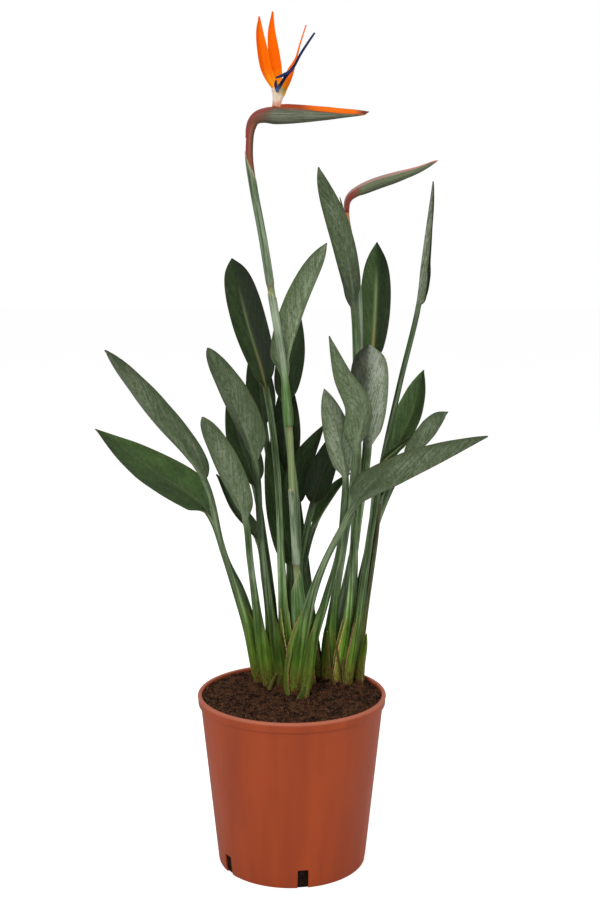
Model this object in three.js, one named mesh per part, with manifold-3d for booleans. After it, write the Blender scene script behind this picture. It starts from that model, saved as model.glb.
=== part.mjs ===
// A potted bird of paradise: clumps of long-stalked leaves, one open flower and one closed bud,
// standing in the soil of a plastic nursery pot.
// Millimetres, +Z up, +X to the right, +Y to the back, origin at the centre of the pot's underside.
import * as THREE from 'three';
import { mergeVertices } from 'three/addons/utils/BufferGeometryUtils.js';
import Module from 'manifold-3d';

const wasm = await Module();
wasm.setup();

// The pot, a 24 cm moulded container.
const POT_HEIGHT = 219;
const POT_BASE_RADIUS = 94.4;
const POT_SHOULDER_RADIUS = 116.2;
const POT_RIM_RADIUS = 120;
const POT_MOUTH_RADIUS = 114.7;
const POT_RIM_HEIGHT = 12;
const POT_WALL = 2;
const POT_SIDES = 60;
const SLOT_WIDTH = 13.5;
const SLOT_HEIGHT = 22;
const SLOT_FLOOR_LENGTH = 11;
const SLOT_ANGLES = [-145.8, -81.5, -7.6, 66, 140];

// The soil, which fills the pot to just under its rim.
const SOIL_EDGE_HEIGHT = 213;
const SOIL_MOUND = 1;
const SOIL_RELIEF = 1.2;
const SOIL_SIDES = 36;
const SOIL_RINGS = 5;

// Pieces that touch keep this gap, and stems this much room in their holes.
const GAP = 0.3;
const HOLE_DEPTH = 40;
const HOLE_ROOM = 0.4;
const GROUND = SOIL_EDGE_HEIGHT + SOIL_MOUND;

// Sections of a leaf: its sheath in the soil, the collar under the blade, and the thin blade itself.
// half: half width, fold and curl: how far each half rises and rolls in, edge and web: thickness at
// the margin and half way in, rib and keel: half width and depth of the midrib.
const SHEATH = { half: 7.5, fold: 0, curl: 0, edge: 4, web: 9.2, rib: 2, keel: 11 };
const SHEATH_SWELL = 0.2;
const COLLAR = { half: 3.8, fold: 0.5, curl: 1, edge: 1.5, web: 2.6, rib: 1.6, keel: 4.8 };
const THIN = { edge: 0.8, web: 1, rib: 0.8, keel: 1.8 };
const STALK_RINGS = 6;
const TIP_SLOPE = 0.62;
const BLADE_STATIONS = [0, 0.04, 0.12, 0.25, 0.4, 0.56, 0.72, 0.87, 0.96];

// The leaves. foot: where the stem enters the soil, stalk: points of the stem up to the collar,
// blade: points of the midrib from there to the tip, width: of the blade laid flat, face: where the
// upper side looks, fold and curl: of the blade in degrees, widest: share of the blade's length
// at which it is widest, sheath: scale of the sheath's section.
const LEAVES = [
  {
    name: 'leaf_left_outer_high', foot: [-44, 46],
    stalk: [[-55, 45, 275], [-75, 40, 343], [-92, 33, 403], [-112, 20, 489]],
    blade: [[-173, -1, 577], [-226, -26, 656]],
    width: 52, face: [0.5, 0.8, 0.5], fold: 20, curl: 20, widest: 0.3, sheath: 1.15,
  },
  {
    name: 'leaf_left_outer_low', foot: [-41, 67],
    stalk: [[-50, 66, 270], [-68, 65, 334], [-86, 62, 374], [-111, 64, 440]],
    blade: [[-191, 72, 500], [-257, 78, 548]],
    width: 62, face: [0.1, -0.75, 0.7], fold: 8, curl: 16, sheath: 0.85, widest: 0.42,
  },
  {
    name: 'leaf_left_middle', foot: [-15, 25],
    stalk: [[-24, 28, 278], [-33, 26, 345], [-41, 22, 425], [-47, 14, 514]],
    blade: [[-73, -8, 593], [-101, -34, 659]],
    width: 54, face: [0.3, 0.9, 0.3], fold: 16, curl: 18, widest: 0.34, sheath: 0.95,
  },
  {
    name: 'leaf_left_front_low', foot: [-32, 28],
    stalk: [[-42, 26, 279], [-49, 23, 339], [-54, 16, 387], [-59, 5, 441]],
    blade: [[-82, -20, 512], [-107, -50, 577]],
    width: 48, face: [0.3, 0.9, 0.4], fold: 16, curl: 18, widest: 0.36, sheath: 0.95,
  },
  {
    name: 'leaf_left_narrow', foot: [-29, 47],
    stalk: [[-31, 55, 298], [-37, 62, 350], [-45, 72, 400]],
    blade: [[-74, 90, 434], [-98, 105, 478]],
    width: 26, face: [0.3, -0.7, 0.6], fold: 30, curl: 20, sheath: 0.7,
  },
  {
    name: 'leaf_left_tall', foot: [-10, 45],
    stalk: [[-11, 42, 275], [-15, 50, 379], [-20, 62, 496], [-34, 78, 601]],
    blade: [[-58, 95, 684], [-79, 112, 769]],
    width: 48, face: [0.1, -0.95, 0.2], fold: 14, curl: 10, widest: 0.48,
  },
  {
    name: 'leaf_centre_tall', foot: [20, 45],
    stalk: [[9, 46, 327], [4, 45, 459], [-3, 43, 538], [-5, 38, 615]],
    blade: [[14, 22, 706], [43, 2, 785]],
    width: 48, face: [-0.3, 0.9, 0.2], fold: 22, curl: 14, sheath: 0.75, widest: 0.38,
  },
  {
    name: 'leaf_centre_back', foot: [25, 94],
    stalk: [[21, 101, 320], [6, 108, 453], [-9, 112, 578]],
    blade: [[0, 118, 649], [6, 128, 712]],
    width: 46, face: [0, -0.95, 0.2], fold: 14, curl: 14, sheath: 0.8,
  },
  {
    name: 'leaf_centre_back_low', foot: [5, 87],
    stalk: [[2, 98, 317], [-5, 110, 397], [-12, 121, 479]],
    blade: [[-9, 132, 549], [-7, 146, 618]],
    width: 44, face: [0.1, -0.95, 0.3], fold: 14, curl: 14, sheath: 0.8,
  },
  {
    name: 'leaf_left_back_high', foot: [-12, 69],
    stalk: [[-12, 88, 319], [-24, 107, 451], [-38, 119, 550]],
    blade: [[-45, 130, 606], [-50, 144, 668]],
    width: 42, face: [0.1, -0.95, 0.3], fold: 14, curl: 14, sheath: 0.75,
  },
  {
    name: 'leaf_left_back_low', foot: [-27, 66],
    stalk: [[-29, 75, 322], [-38, 84, 400], [-50, 88, 472]],
    blade: [[-70, 97, 530], [-86, 112, 592]],
    width: 44, face: [0.2, -0.9, 0.4], fold: 14, curl: 14, sheath: 0.8,
  },
  {
    name: 'leaf_centre_low', foot: [3, 53],
    stalk: [[-5, 63, 269], [-6, 74, 320], [-4, 83, 366]],
    blade: [[-18, 92, 452], [-33, 102, 530]],
    width: 46, face: [0.2, -0.9, 0.3], fold: 12, curl: 14, sheath: 0.75,
  },
  {
    name: 'leaf_middle_back', foot: [33, 66],
    stalk: [[27, 71, 287], [18, 75, 334], [8, 76, 395], [4, 76, 445]],
    blade: [[15, 84, 499], [42, 98, 551]],
    width: 38, face: [-0.2, -0.8, 0.4], fold: 20, curl: 16, sheath: 0.85,
  },
  {
    name: 'leaf_middle_dark', foot: [20, 60],
    stalk: [[7, 62, 311], [14, 62, 388], [28, 60, 453]],
    blade: [[44, 66, 501], [64, 78, 554]],
    width: 40, face: [-0.2, -0.85, 0.3], fold: 14, curl: 20, sheath: 0.75,
  },
  {
    name: 'leaf_middle_narrow', foot: [19, 79],
    stalk: [[9, 87, 306], [16, 92, 362], [31, 98, 417]],
    blade: [[53, 112, 451], [78, 130, 482]],
    width: 28, face: [-0.4, -0.6, 0.6], fold: 34, curl: 20, sheath: 0.7,
  },
  {
    name: 'leaf_right_front_high', foot: [49, 55],
    stalk: [[52, 55, 270], [57, 50, 326], [68, 40, 401], [76, 24, 463], [81, 2, 531]],
    blade: [[71, -24, 605], [45, -54, 674]],
    width: 50, face: [-0.3, 0.9, 0.3], fold: 14, curl: 18, widest: 0.28,
  },
  {
    name: 'leaf_right_front_low', foot: [20, 12],
    stalk: [[28, 20, 280], [45, 26, 332], [61, 26, 391], [67, 24, 457], [68, 20, 493]],
    blade: [[56, 4, 554], [40, -18, 608]],
    width: 38, face: [-0.1, 0.95, 0.2], fold: 16, curl: 18, widest: 0.38,
  },
  {
    name: 'leaf_top', foot: [62, 66],
    stalk: [[80, 66, 322], [84, 74, 428], [86, 78, 533], [84, 76, 625], [80, 68, 705]],
    blade: [[63, 46, 798], [33, 16, 877]],
    width: 44, face: [-0.3, 0.9, 0.2], fold: 22, curl: 16, sheath: 0.75, sheathFace: [-1, 0.3, 0],
  },
  {
    name: 'leaf_right_tall_back', foot: [45, 90],
    stalk: [[60, 95, 285], [76, 97, 350], [90, 102, 423], [99, 108, 530], [106, 114, 630]],
    blade: [[111, 126, 714], [113, 144, 791]],
    width: 44, face: [-0.1, -0.95, 0.1], fold: 18, curl: 8, sheath: 0.75, widest: 0.5,
  },
  {
    name: 'leaf_right_arching', foot: [4, 6],
    stalk: [[15, 10, 290], [28, 3, 345], [44, -4, 391], [63, -12, 431], [81, -20, 464]],
    blade: [[131, -42, 495], [180, -64, 525], [231, -86, 558]],
    width: 62, face: [-0.1, 0.7, 0.7], fold: 36, curl: 14, sheath: 1.1, widest: 0.38,
  },
  {
    name: 'leaf_right_edge_on', foot: [74, 50],
    stalk: [[88, 58, 283], [99, 64, 376], [121, 74, 521], [139, 80, 609], [161, 86, 694]],
    blade: [[170, 84, 763], [182, 74, 865]],
    width: 36, face: [-1, 0.1, 0.1], fold: 30, curl: 16, sheath: 0.75,
  },
  {
    name: 'leaf_right_silver', foot: [62, 47],
    stalk: [[77, 54, 325], [88, 60, 430], [99, 58, 528]],
    blade: [[102, 40, 595], [102, 14, 661]],
    width: 58, face: [0.1, 0.95, 0.3], fold: 24, curl: 20, sheath: 0.75, widest: 0.46,
  },
  {
    name: 'leaf_right_back_high', foot: [60, 80],
    stalk: [[84, 92, 302], [108, 104, 422], [133, 112, 507]],
    blade: [[154, 130, 561], [178, 150, 620]],
    width: 46, face: [-0.4, -0.8, 0.3], fold: 26, curl: 10, sheath: 0.75, widest: 0.44,
  },
  {
    name: 'leaf_right_back_low', foot: [74, 66],
    stalk: [[87, 76, 279], [99, 84, 365], [125, 88, 452], [153, 89, 506]],
    blade: [[182, 101, 537], [208, 120, 566]],
    width: 36, face: [-0.3, -0.7, 0.6], fold: 20, curl: 14, sheath: 0.75, widest: 0.44,
  },
  {
    name: 'leaf_right_young', foot: [75, 35],
    stalk: [[90, 38, 326], [102, 38, 421], [113, 36, 504]],
    blade: [[133, 31, 526], [151, 28, 543]],
    width: 20, face: [-0.4, 0.6, 0.6], fold: 40, curl: 30, sheath: 0.6,
  },
  {
    name: 'leaf_right_withered', foot: [86, 58],
    stalk: [[97, 68, 300], [110, 75, 394], [116, 80, 447]],
    blade: [[119, 81, 456], [125, 79, 470]],
    width: 12, face: [-0.6, -0.4, 0.6], fold: 40, curl: 30, sheath: 0.55,
  },
];

// The stalks of the flower and of the bud. line: centre line from the soil to the spathe, bracts:
// sheathing bracts as [lowest, highest height, side on which the free tip stands].
const STALK_RADIUS = 4.4;
const NECK_RADIUS = 5;
const NECK_FLARE = 1.2;
const STALK_SIDES = 8;
const BRACT_THICKNESS = 1;
const BRACT_STATIONS = [0, 0.06, 0.45, 0.7, 0.9];
const FLOWER_STALK = {
  name: 'flower_stalk',
  foot: [8, 28],
  line: [
    [10, 34, 277], [6, 34, 370], [1, 32, 462], [-3, 29, 552], [-10, 26, 628], [-25, 22, 725],
    [-35, 19, 789], [-46, 15, 849], [-51, 13, 885], [-51, 12, 905], [-49, 12, 920],
    [-44, 12, 931], [-39, 12, 936], [-33, 12, 938.2],
  ],
  bracts: [
    [216, 372, [0.6, -0.8, 0]], [376, 478, [-0.6, -0.8, 0]], [556, 728, [0.5, -0.8, 0]],
    [732, 896, [-1, -0.2, 0]],
  ],
};
const BUD_STALK = {
  name: 'bud_stalk',
  foot: [48, 74],
  line: [
    [58, 77, 262], [78, 84, 368], [87, 90, 478], [91, 91, 585], [92, 89, 676], [90, 86, 739],
    [79, 82, 791], [71, 79, 822], [71, 77, 838], [75, 76, 846], [81, 75, 850.5],
  ],
  bracts: [[216, 390, [0, -1, 0]], [560, 738, [0.8, -0.6, 0]], [742, 846, [-1, 0, 0]]],
};

// The spathes. axis: from the stalk to the tip, depths: [share of the length, half depth], slit: how
// deep the slit along the top is. The flank is one side of the section, in half widths and depths.
const SPATHE_FLATNESS = 0.6;
const SPATHE_FLANK = [[0.62, -0.62], [1, -0.1], [0.86, 0.5], [0.3, 1]];
const FLOWER_SPATHE = {
  name: 'flower_spathe',
  axis: [[-30.8, 12, 938.7], [0, 9, 939.5], [32, 5, 940], [64, 1, 940.5], [96, -3, 941]],
  depths: [
    [0, 6.6], [0.03, 8.6], [0.08, 11], [0.14, 12], [0.28, 11.4],
    [0.45, 9.4], [0.6, 7.4], [0.75, 5], [0.9, 2.6],
  ],
  slit: 2.4,
};
const BUD_SPATHE = {
  name: 'bud_spathe',
  axis: [[82.8, 74.8, 851.3], [108, 71, 861], [134, 67, 871], [160, 63, 880.5], [186, 60, 890]],
  depths: [[0, 6.2], [0.08, 7.2], [0.22, 7.6], [0.4, 6.8], [0.6, 5.2], [0.78, 3.4], [0.92, 1.8]],
  slit: 0.8,
};

// The open flower. Each petal or sepal: points of its centre line, width and face as for a leaf.
const FLOWER_BASE = { foot: [-17, 10, 952.5], top: [-14, 9, 964], footRadius: 4.8, topRadius: 8.4 };
const SEPAL_CUP = { foot: [-13.9, 9, 964.5], top: [-12.3, 8.5, 971], footRadius: 8, topRadius: 4 };
const FLOWER_FLATNESS = 0.7;
const SEPALS = [
  {
    line: [[-18, 10, 968.5], [-30, 14, 993], [-36, 14, 1021], [-38, 12, 1054]],
    width: 21, face: [0.5, -0.8, 0.1],
  },
  {
    line: [[-14, 12, 968.5], [-19, 20, 996], [-23, 23, 1026], [-22, 23, 1062]],
    width: 19, face: [0.1, -0.9, 0.1],
  },
  {
    line: [[-10, 9, 968.5], [0, 7, 984], [9, 6, 1008], [18, 7, 1043]],
    width: 17, face: [-0.9, -0.5, 0.3], widest: 0.24,
  },
];
const SEPAL_FOLD = 24;
const PETAL_CURL = 0.3;
const PETAL_STATIONS = [0, 0.12, 0.3, 0.5, 0.7, 0.88];
const ARROW = {
  line: [[-11, 4.7, 967.6], [-6, -5, 982], [2, -7, 992], [13, -6, 1009], [29, -3, 1032]],
  width: 9, face: [-0.3, -0.9, 0.3],
};
const BARBS = [
  [[-1, -7, 989], [-9, -9, 984], [-19, -11, 979]],
  [[-1, -7, 989], [-7, -4, 983], [-15, -1.5, 978]],
];
const BARB_RADIUS = 1.3;

// The next flower's sepals, folded in the slit of the spathe.
const EMERGING = { stations: [0.2, 0.24, 0.35, 0.5, 0.65, 0.8, 0.92], radius: 1.5, rise: 3.6 };

// Short old sheaths at the foot of the clumps: foot, tip and scale of the sheath's section.
const OLD_SHEATHS = [
  { name: 'sheath_front', foot: [17, -9], line: [[19, -7, 226]], tip: [23, -4, 244], scale: 0.9 },
  {
    name: 'sheath_right', foot: [90, 43], line: [[93, 45, 240], [98, 49, 262]], tip: [101, 52, 282],
    scale: 0.75,
  },
];

const GREEN_UNDERSIDE = finish(0x6f7d68, 0.6);
const GREEN_UPPER = finish(0x34502f, 0.4);
const GREEN_STALK = finish(0x5f8050, 0.5);
const GREEN_SPATHE = finish(0x6d6f5e, 0.5);
const CREAM = finish(0xe6d3b8, 0.6);
const ORANGE = finish(0xff7a0c, 0.55);
const BLUE = finish(0x35406e, 0.5);
const TERRACOTTA = finish(0x9a4426, 0.55);
const EARTH = finish(0x3a2b20, 0.95);

function finish(colour, roughness) {
  return new THREE.MeshStandardMaterial({ color: colour, roughness, metalness: 0 });
}

function vector(point) {
  return new THREE.Vector3(...point);
}

// A number, or each field of a section, part of the way from a to b.
function mix(a, b, share) {
  if (typeof a === 'number') return THREE.MathUtils.lerp(a, b, share);
  return Object.fromEntries(Object.keys(a).map((key) => [key, mix(a[key], b[key], share)]));
}

// The frame across a centre line: the side and up directions that stand square to its tangent.
function frameAt(curve, t, face) {
  const tangent = curve.getTangent(t);
  const up = face.clone().addScaledVector(tangent, -face.dot(tangent)).normalize();
  const side = new THREE.Vector3().crossVectors(up, tangent);
  return { origin: curve.getPoint(t), side, up };
}

// Sets flat points [across, up] in a frame.
function place(frame, points) {
  return points.map(([across, up]) => frame.origin.clone()
    .addScaledVector(frame.side, across)
    .addScaledVector(frame.up, up));
}

// A closed solid through rings of points, each ring running the same way round. Past half of each
// ring the other diagonal is taken, so that a thin blade is split alike on both faces.
function loft(rings, apex) {
  const count = rings[0].length;
  const points = rings.flat();
  const faces = [];
  for (let i = 0; i + 1 < rings.length; i += 1) {
    for (let j = 0; j < count; j += 1) {
      const a = i * count + j;
      const b = i * count + ((j + 1) % count);
      const c = b + count;
      const d = a + count;
      faces.push(...(j < count / 3 ? [a, b, c, a, c, d] : [a, b, d, b, c, d]));
    }
  }
  const last = (rings.length - 1) * count;
  for (let j = 1; j + 1 < count; j += 1) faces.push(0, j + 1, j);
  if (apex) {
    points.push(apex);
    const top = points.length - 1;
    for (let j = 0; j < count; j += 1) faces.push(last + j, last + ((j + 1) % count), top);
  } else {
    for (let j = 1; j + 1 < count; j += 1) faces.push(last, last + j, last + j + 1);
  }
  const geometry = new THREE.BufferGeometry();
  const places = points.flatMap((point) => point.toArray());
  geometry.setAttribute('position', new THREE.Float32BufferAttribute(places, 3));
  geometry.setIndex(faces);
  return geometry;
}

// The outline of a leaf's section: five points over the upper side, seven back under the midrib.
function leafSection({ half, fold, curl, edge, web, rib, keel }) {
  const at = (share, sink) => {
    const angle = fold + curl * share;
    const bend = Math.max(curl, 1e-3);
    const across = half * (Math.sin(fold + bend * share) - Math.sin(fold)) / bend;
    const up = half * (Math.cos(fold) - Math.cos(fold + bend * share)) / bend;
    return [across + sink * Math.sin(angle), up - sink * Math.cos(angle)];
  };
  const left = ([across, up]) => [-across, up];
  const right = [at(1, 0), at(0.5, 0)];
  const under = [at(0.5, web), at(1, edge)];
  const ribSide = [rib, rib * Math.tan(fold) * 0.7 - mix(web, keel, 0.7)];
  const outline = [
    ...right, [0, 0], ...right.map(left).reverse(),
    ...under.map(left).reverse(), left(ribSide), [0, -keel], ribSide, ...under,
  ];
  return outline.map(([across, up]) => [across, up + keel / 2]);
}

// The half width of a blade or sepal along its length, as a share of its widest.
function bladeOutline(share, widest = 0.34) {
  const shape = (s) => s ** 0.45 * (1 - s) ** (0.45 / widest - 0.45);
  return shape(share) / shape(widest);
}

// The half width of a leaf's blade along its length, which ends in an acute tip.
function bladeHalf(share, { stalk, blade, width, widest }) {
  const length = vector(stalk.at(-1)).distanceTo(vector(blade.at(-1)));
  const [full, tip] = [width / 2 * bladeOutline(share, widest), TIP_SLOPE * length * (1 - share)];
  return Math.max(COLLAR.half * (1 - share), (full ** -4 + tip ** -4) ** -0.25);
}

// The section of a blade at a share of its length.
function bladeSection(share, leaf, fold, curl) {
  const half = bladeHalf(share, leaf);
  const section = mix(COLLAR, { half, fold, curl, ...THIN }, THREE.MathUtils.smoothstep(share, 0, 0.12));
  const keel = mix(THIN.keel, COLLAR.keel, (1 - share) ** 1.6);
  return { ...section, half, keel };
}

// The section of a leaf's sheath, in which it stands in the soil.
function sheathSection(scale) {
  return Object.fromEntries(Object.entries(SHEATH).map(([key, size]) => [key, size * scale]));
}

// A frame across a stem that stands upright in the soil.
function uprightFrame([x, y], height, face) {
  const up = face.clone().setZ(0).normalize();
  const side = new THREE.Vector3(up.y, -up.x, 0);
  return { origin: new THREE.Vector3(x, y, height), side, up };
}

// The two rings of a stem's straight stretch in the soil.
function inSoil(foot, face, outline) {
  return [GROUND - HOLE_DEPTH, GROUND].map((z) => place(uprightFrame(foot, z, face), outline));
}

// The direction in which a leaf's sheath opens: back over its clump, away from where the leaf leans.
function sheathFace({ foot, stalk, sheathFace: given }) {
  if (given) return vector(given);
  const [x, y] = stalk.at(-1);
  return new THREE.Vector3(foot[0] - x, foot[1] - y, 0).normalize();
}

function leafGeometry(leaf) {
  const { foot, stalk, blade, sheath = 1 } = leaf;
  const fold = THREE.MathUtils.degToRad(leaf.fold);
  const curl = THREE.MathUtils.degToRad(leaf.curl);
  const points = [[...foot, GROUND], ...stalk, ...blade].map(vector);
  const curve = new THREE.CatmullRomCurve3(points);
  const collar = stalk.length / (points.length - 1);
  const low = sheathFace(leaf);
  const high = vector(leaf.face).normalize();
  const rings = inSoil(foot, low, leafSection(sheathSection(sheath)));
  for (let ring = 1; ring < STALK_RINGS; ring += 1) {
    const share = ring / STALK_RINGS;
    const face = low.clone().lerp(high, THREE.MathUtils.smoothstep(share, 0.1, 1));
    const swell = 1 + SHEATH_SWELL * Math.sin(Math.PI * Math.min(1, share * 2.5));
    const shape = mix(sheathSection(sheath * swell), COLLAR, THREE.MathUtils.smoothstep(share, 0.1, 0.8));
    rings.push(place(frameAt(curve, collar * share, face), leafSection(shape)));
  }
  for (const share of BLADE_STATIONS) {
    const shape = bladeSection(share, leaf, fold, curl);
    rings.push(place(frameAt(curve, collar + (1 - collar) * share, high), leafSection(shape)));
  }
  return loft(rings, points.at(-1));
}

// A closed solid round a straight stretch of stem, a little wider than it: its hole in the soil.
function holeRound(foot, face, outline, halfWidth, halfDepth) {
  const wider = outline.map(([across, up]) => [
    across * (1 + HOLE_ROOM / halfWidth),
    up * (1 + HOLE_ROOM / halfDepth),
  ]);
  const bottom = GROUND - HOLE_DEPTH - GAP;
  return loft([bottom, GROUND + SOIL_MOUND].map((z) => place(uprightFrame(foot, z, face), wider)));
}

function leafHole({ foot, sheath = 1, ...leaf }) {
  const section = sheathSection(sheath);
  return holeRound(foot, sheathFace({ foot, ...leaf }), leafSection(section), section.half, section.keel / 2);
}

function circle(radius, flatness = 1) {
  return Array.from({ length: STALK_SIDES }, (_, i) => {
    const angle = i * 2 * Math.PI / STALK_SIDES;
    return [radius * Math.cos(angle), radius * flatness * Math.sin(angle)];
  });
}

const STALK_FACE = new THREE.Vector3(0, -1, 0);

// The station of a rising curve at a height.
function stationAt(curve, height) {
  let [low, high] = [0, 0.95];
  while (high - low > 1e-4) {
    const middle = (low + high) / 2;
    if (curve.getPoint(middle).z < height) low = middle;
    else high = middle;
  }
  return low;
}

// A sheathing bract: it grips the stalk at its node, wraps it, and ends in a tip on one side.
function bractGeometry(curve, [lowest, highest, side], radiusAt) {
  const [from, to] = [lowest, highest].map((height) => stationAt(curve, height));
  const out = vector(side).normalize();
  const rings = BRACT_STATIONS.map((share) => {
    const t = mix(from, to, share);
    const around = radiusAt(t) + (share > 0 ? BRACT_THICKNESS : -GAP);
    const radius = mix(around, BRACT_THICKNESS, THREE.MathUtils.smoothstep(share, 0.45, 1.1));
    const frame = frameAt(curve, t, STALK_FACE);
    frame.origin.addScaledVector(out, around - radius);
    return place(frame, circle(radius));
  });
  return loft(rings, curve.getPoint(to).addScaledVector(out, radiusAt(to) + BRACT_THICKNESS / 2));
}

function stalkSolid({ foot, line, bracts }) {
  const curve = new THREE.CatmullRomCurve3([[...foot, GROUND], ...line].map(vector));
  const flare = (t) => NECK_FLARE * THREE.MathUtils.smoothstep(t, 0.9, 1);
  const radiusAt = (t) => mix(STALK_RADIUS, NECK_RADIUS, t) + flare(t);
  const rings = inSoil(foot, STALK_FACE, circle(STALK_RADIUS));
  const steps = Math.round(line.length * 1.3);
  for (let step = 1; step <= steps; step += 1) {
    rings.push(place(frameAt(curve, step / steps, STALK_FACE), circle(radiusAt(step / steps))));
  }
  return bracts.reduce(
    (solid, bract) => solid.add(solidOf(bractGeometry(curve, bract, radiusAt))),
    solidOf(loft(rings)),
  );
}

// A number between the stations of a list of [share, value].
function between(stations, share) {
  const next = stations.findIndex(([at]) => at >= share);
  if (next < 0) return stations.at(-1)[1];
  if (next === 0) return stations[0][1];
  const [[from, start], [to, end]] = stations.slice(next - 1, next + 1);
  return mix(start, end, (share - from) / (to - from));
}

// The height of the slit's floor over the axis.
function slitFloor(depth, share, slit) {
  return depth * (1 - share * 0.2) - slit * Math.min(1, depth / 6);
}

// A spathe: a boat that narrows to a beak, folded along its keel and open in a slit along its top.
function spatheGeometry({ axis, depths, slit }) {
  const curve = new THREE.CatmullRomCurve3(axis.map(vector));
  const up = new THREE.Vector3(0, 0, 1);
  const rings = depths.map(([share, depth]) => {
    const wide = depth * SPATHE_FLATNESS;
    const right = SPATHE_FLANK.map(([across, height]) => [across * wide, height * depth]);
    const groove = slitFloor(depth, share, slit * Math.min(1, share * 8));
    const left = right.map(([across, height]) => [-across, height]).reverse();
    return place(frameAt(curve, share, up), [[0, -depth], ...right, [0, groove], ...left]);
  });
  return loft(rings, vector(axis.at(-1)));
}

// The next flower's sepals: a sliver that lies in the slit and rises to a ridge above it.
function emergingGeometry({ axis, depths, slit }) {
  const curve = new THREE.CatmullRomCurve3(axis.map(vector));
  const up = new THREE.Vector3(0, 0, 1);
  const rings = EMERGING.stations.map((share) => {
    const depth = between(depths, share);
    const seat = slitFloor(depth, share, slit) + 5 * GAP;
    const radius = Math.min(EMERGING.radius, 0.28 * SPATHE_FLATNESS * depth + 0.6);
    const flank = depth + 4 * GAP;
    const top = depth + EMERGING.rise * (1 - 0.4 * share);
    return place(frameAt(curve, share, up), [[0, seat], [radius, flank], [0, top], [-radius, flank]]);
  });
  return loft(rings, vector(axis.at(-1)).add(new THREE.Vector3(2, 0, 2.4)));
}

// A short round body between two points, wider at one end.
function frustumGeometry({ foot, top, footRadius, topRadius }) {
  const curve = new THREE.LineCurve3(vector(foot), vector(top));
  const middle = mix(footRadius, topRadius, 0.6);
  return loft([footRadius, middle, topRadius].map((radius, i) => (
    place(frameAt(curve, i / 2, STALK_FACE), circle(radius, FLOWER_FLATNESS)))));
}

// A petal or sepal, a thin folded blade on a narrow foot.
function petalGeometry({ line, width, face, widest }, fold) {
  const curve = new THREE.CatmullRomCurve3(line.map(vector));
  const rings = PETAL_STATIONS.map((share) => {
    const half = Math.max(2.4 * (1 - share), width / 2 * bladeOutline(share, widest));
    const section = { half, fold, curl: PETAL_CURL, ...THIN };
    return place(frameAt(curve, share, vector(face)), leafSection(section));
  });
  return loft(rings, vector(line.at(-1)));
}

function barbGeometry(line) {
  const curve = new THREE.CatmullRomCurve3(line.map(vector));
  const rings = [0, 0.4, 0.8].map((share) => (
    place(frameAt(curve, share, STALK_FACE), circle(BARB_RADIUS * (1 - 0.6 * share)))));
  return loft(rings, vector(line.at(-1)));
}

function oldSheathGeometry({ foot, line, tip, scale }) {
  const curve = new THREE.CatmullRomCurve3([[...foot, GROUND], ...line, tip].map(vector));
  const face = sheathFace({ foot, stalk: [tip] });
  const section = sheathSection(scale);
  const rings = inSoil(foot, face, leafSection(section));
  for (const share of [0.3, 0.6, 0.85]) {
    const shape = mix(section, sheathSection(scale * 0.12), share ** 1.5);
    rings.push(place(frameAt(curve, share, face), leafSection(shape)));
  }
  return loft(rings, vector(tip));
}

// A geometry as a solid that can be joined and cut, and back.
function solidOf(geometry) {
  const bare = geometry.index ? geometry.toNonIndexed() : geometry.clone();
  bare.deleteAttribute('normal');
  bare.deleteAttribute('uv');
  const merged = mergeVertices(bare, 1e-3);
  const corners = merged.index.array;
  const faces = [];
  for (let i = 0; i < corners.length; i += 3) {
    const [a, b, c] = corners.slice(i, i + 3);
    if (a !== b && b !== c && c !== a) faces.push(a, b, c);
  }
  const { array } = merged.attributes.position;
  const triVerts = new Uint32Array(faces);
  return new wasm.Manifold(new wasm.Mesh({ numProp: 3, vertProperties: array, triVerts }));
}

function geometryOf(solid) {
  const { vertProperties, triVerts } = solid.getMesh();
  const geometry = new THREE.BufferGeometry();
  geometry.setAttribute('position', new THREE.BufferAttribute(vertProperties, 3));
  geometry.setIndex(new THREE.BufferAttribute(triVerts, 1));
  return geometry;
}

// A closed solid turned round the Z axis from a profile of [radius, height] points.
function turned(profile, sides) {
  const geometry = new THREE.LatheGeometry(profile.map(([r, z]) => new THREE.Vector2(r, z)), sides);
  return geometry.rotateX(Math.PI / 2);
}

// The radius of the pot's outer wall at a height.
function potRadius(height) {
  return mix(POT_BASE_RADIUS, POT_SHOULDER_RADIUS, height / (POT_HEIGHT - POT_RIM_HEIGHT));
}

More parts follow.
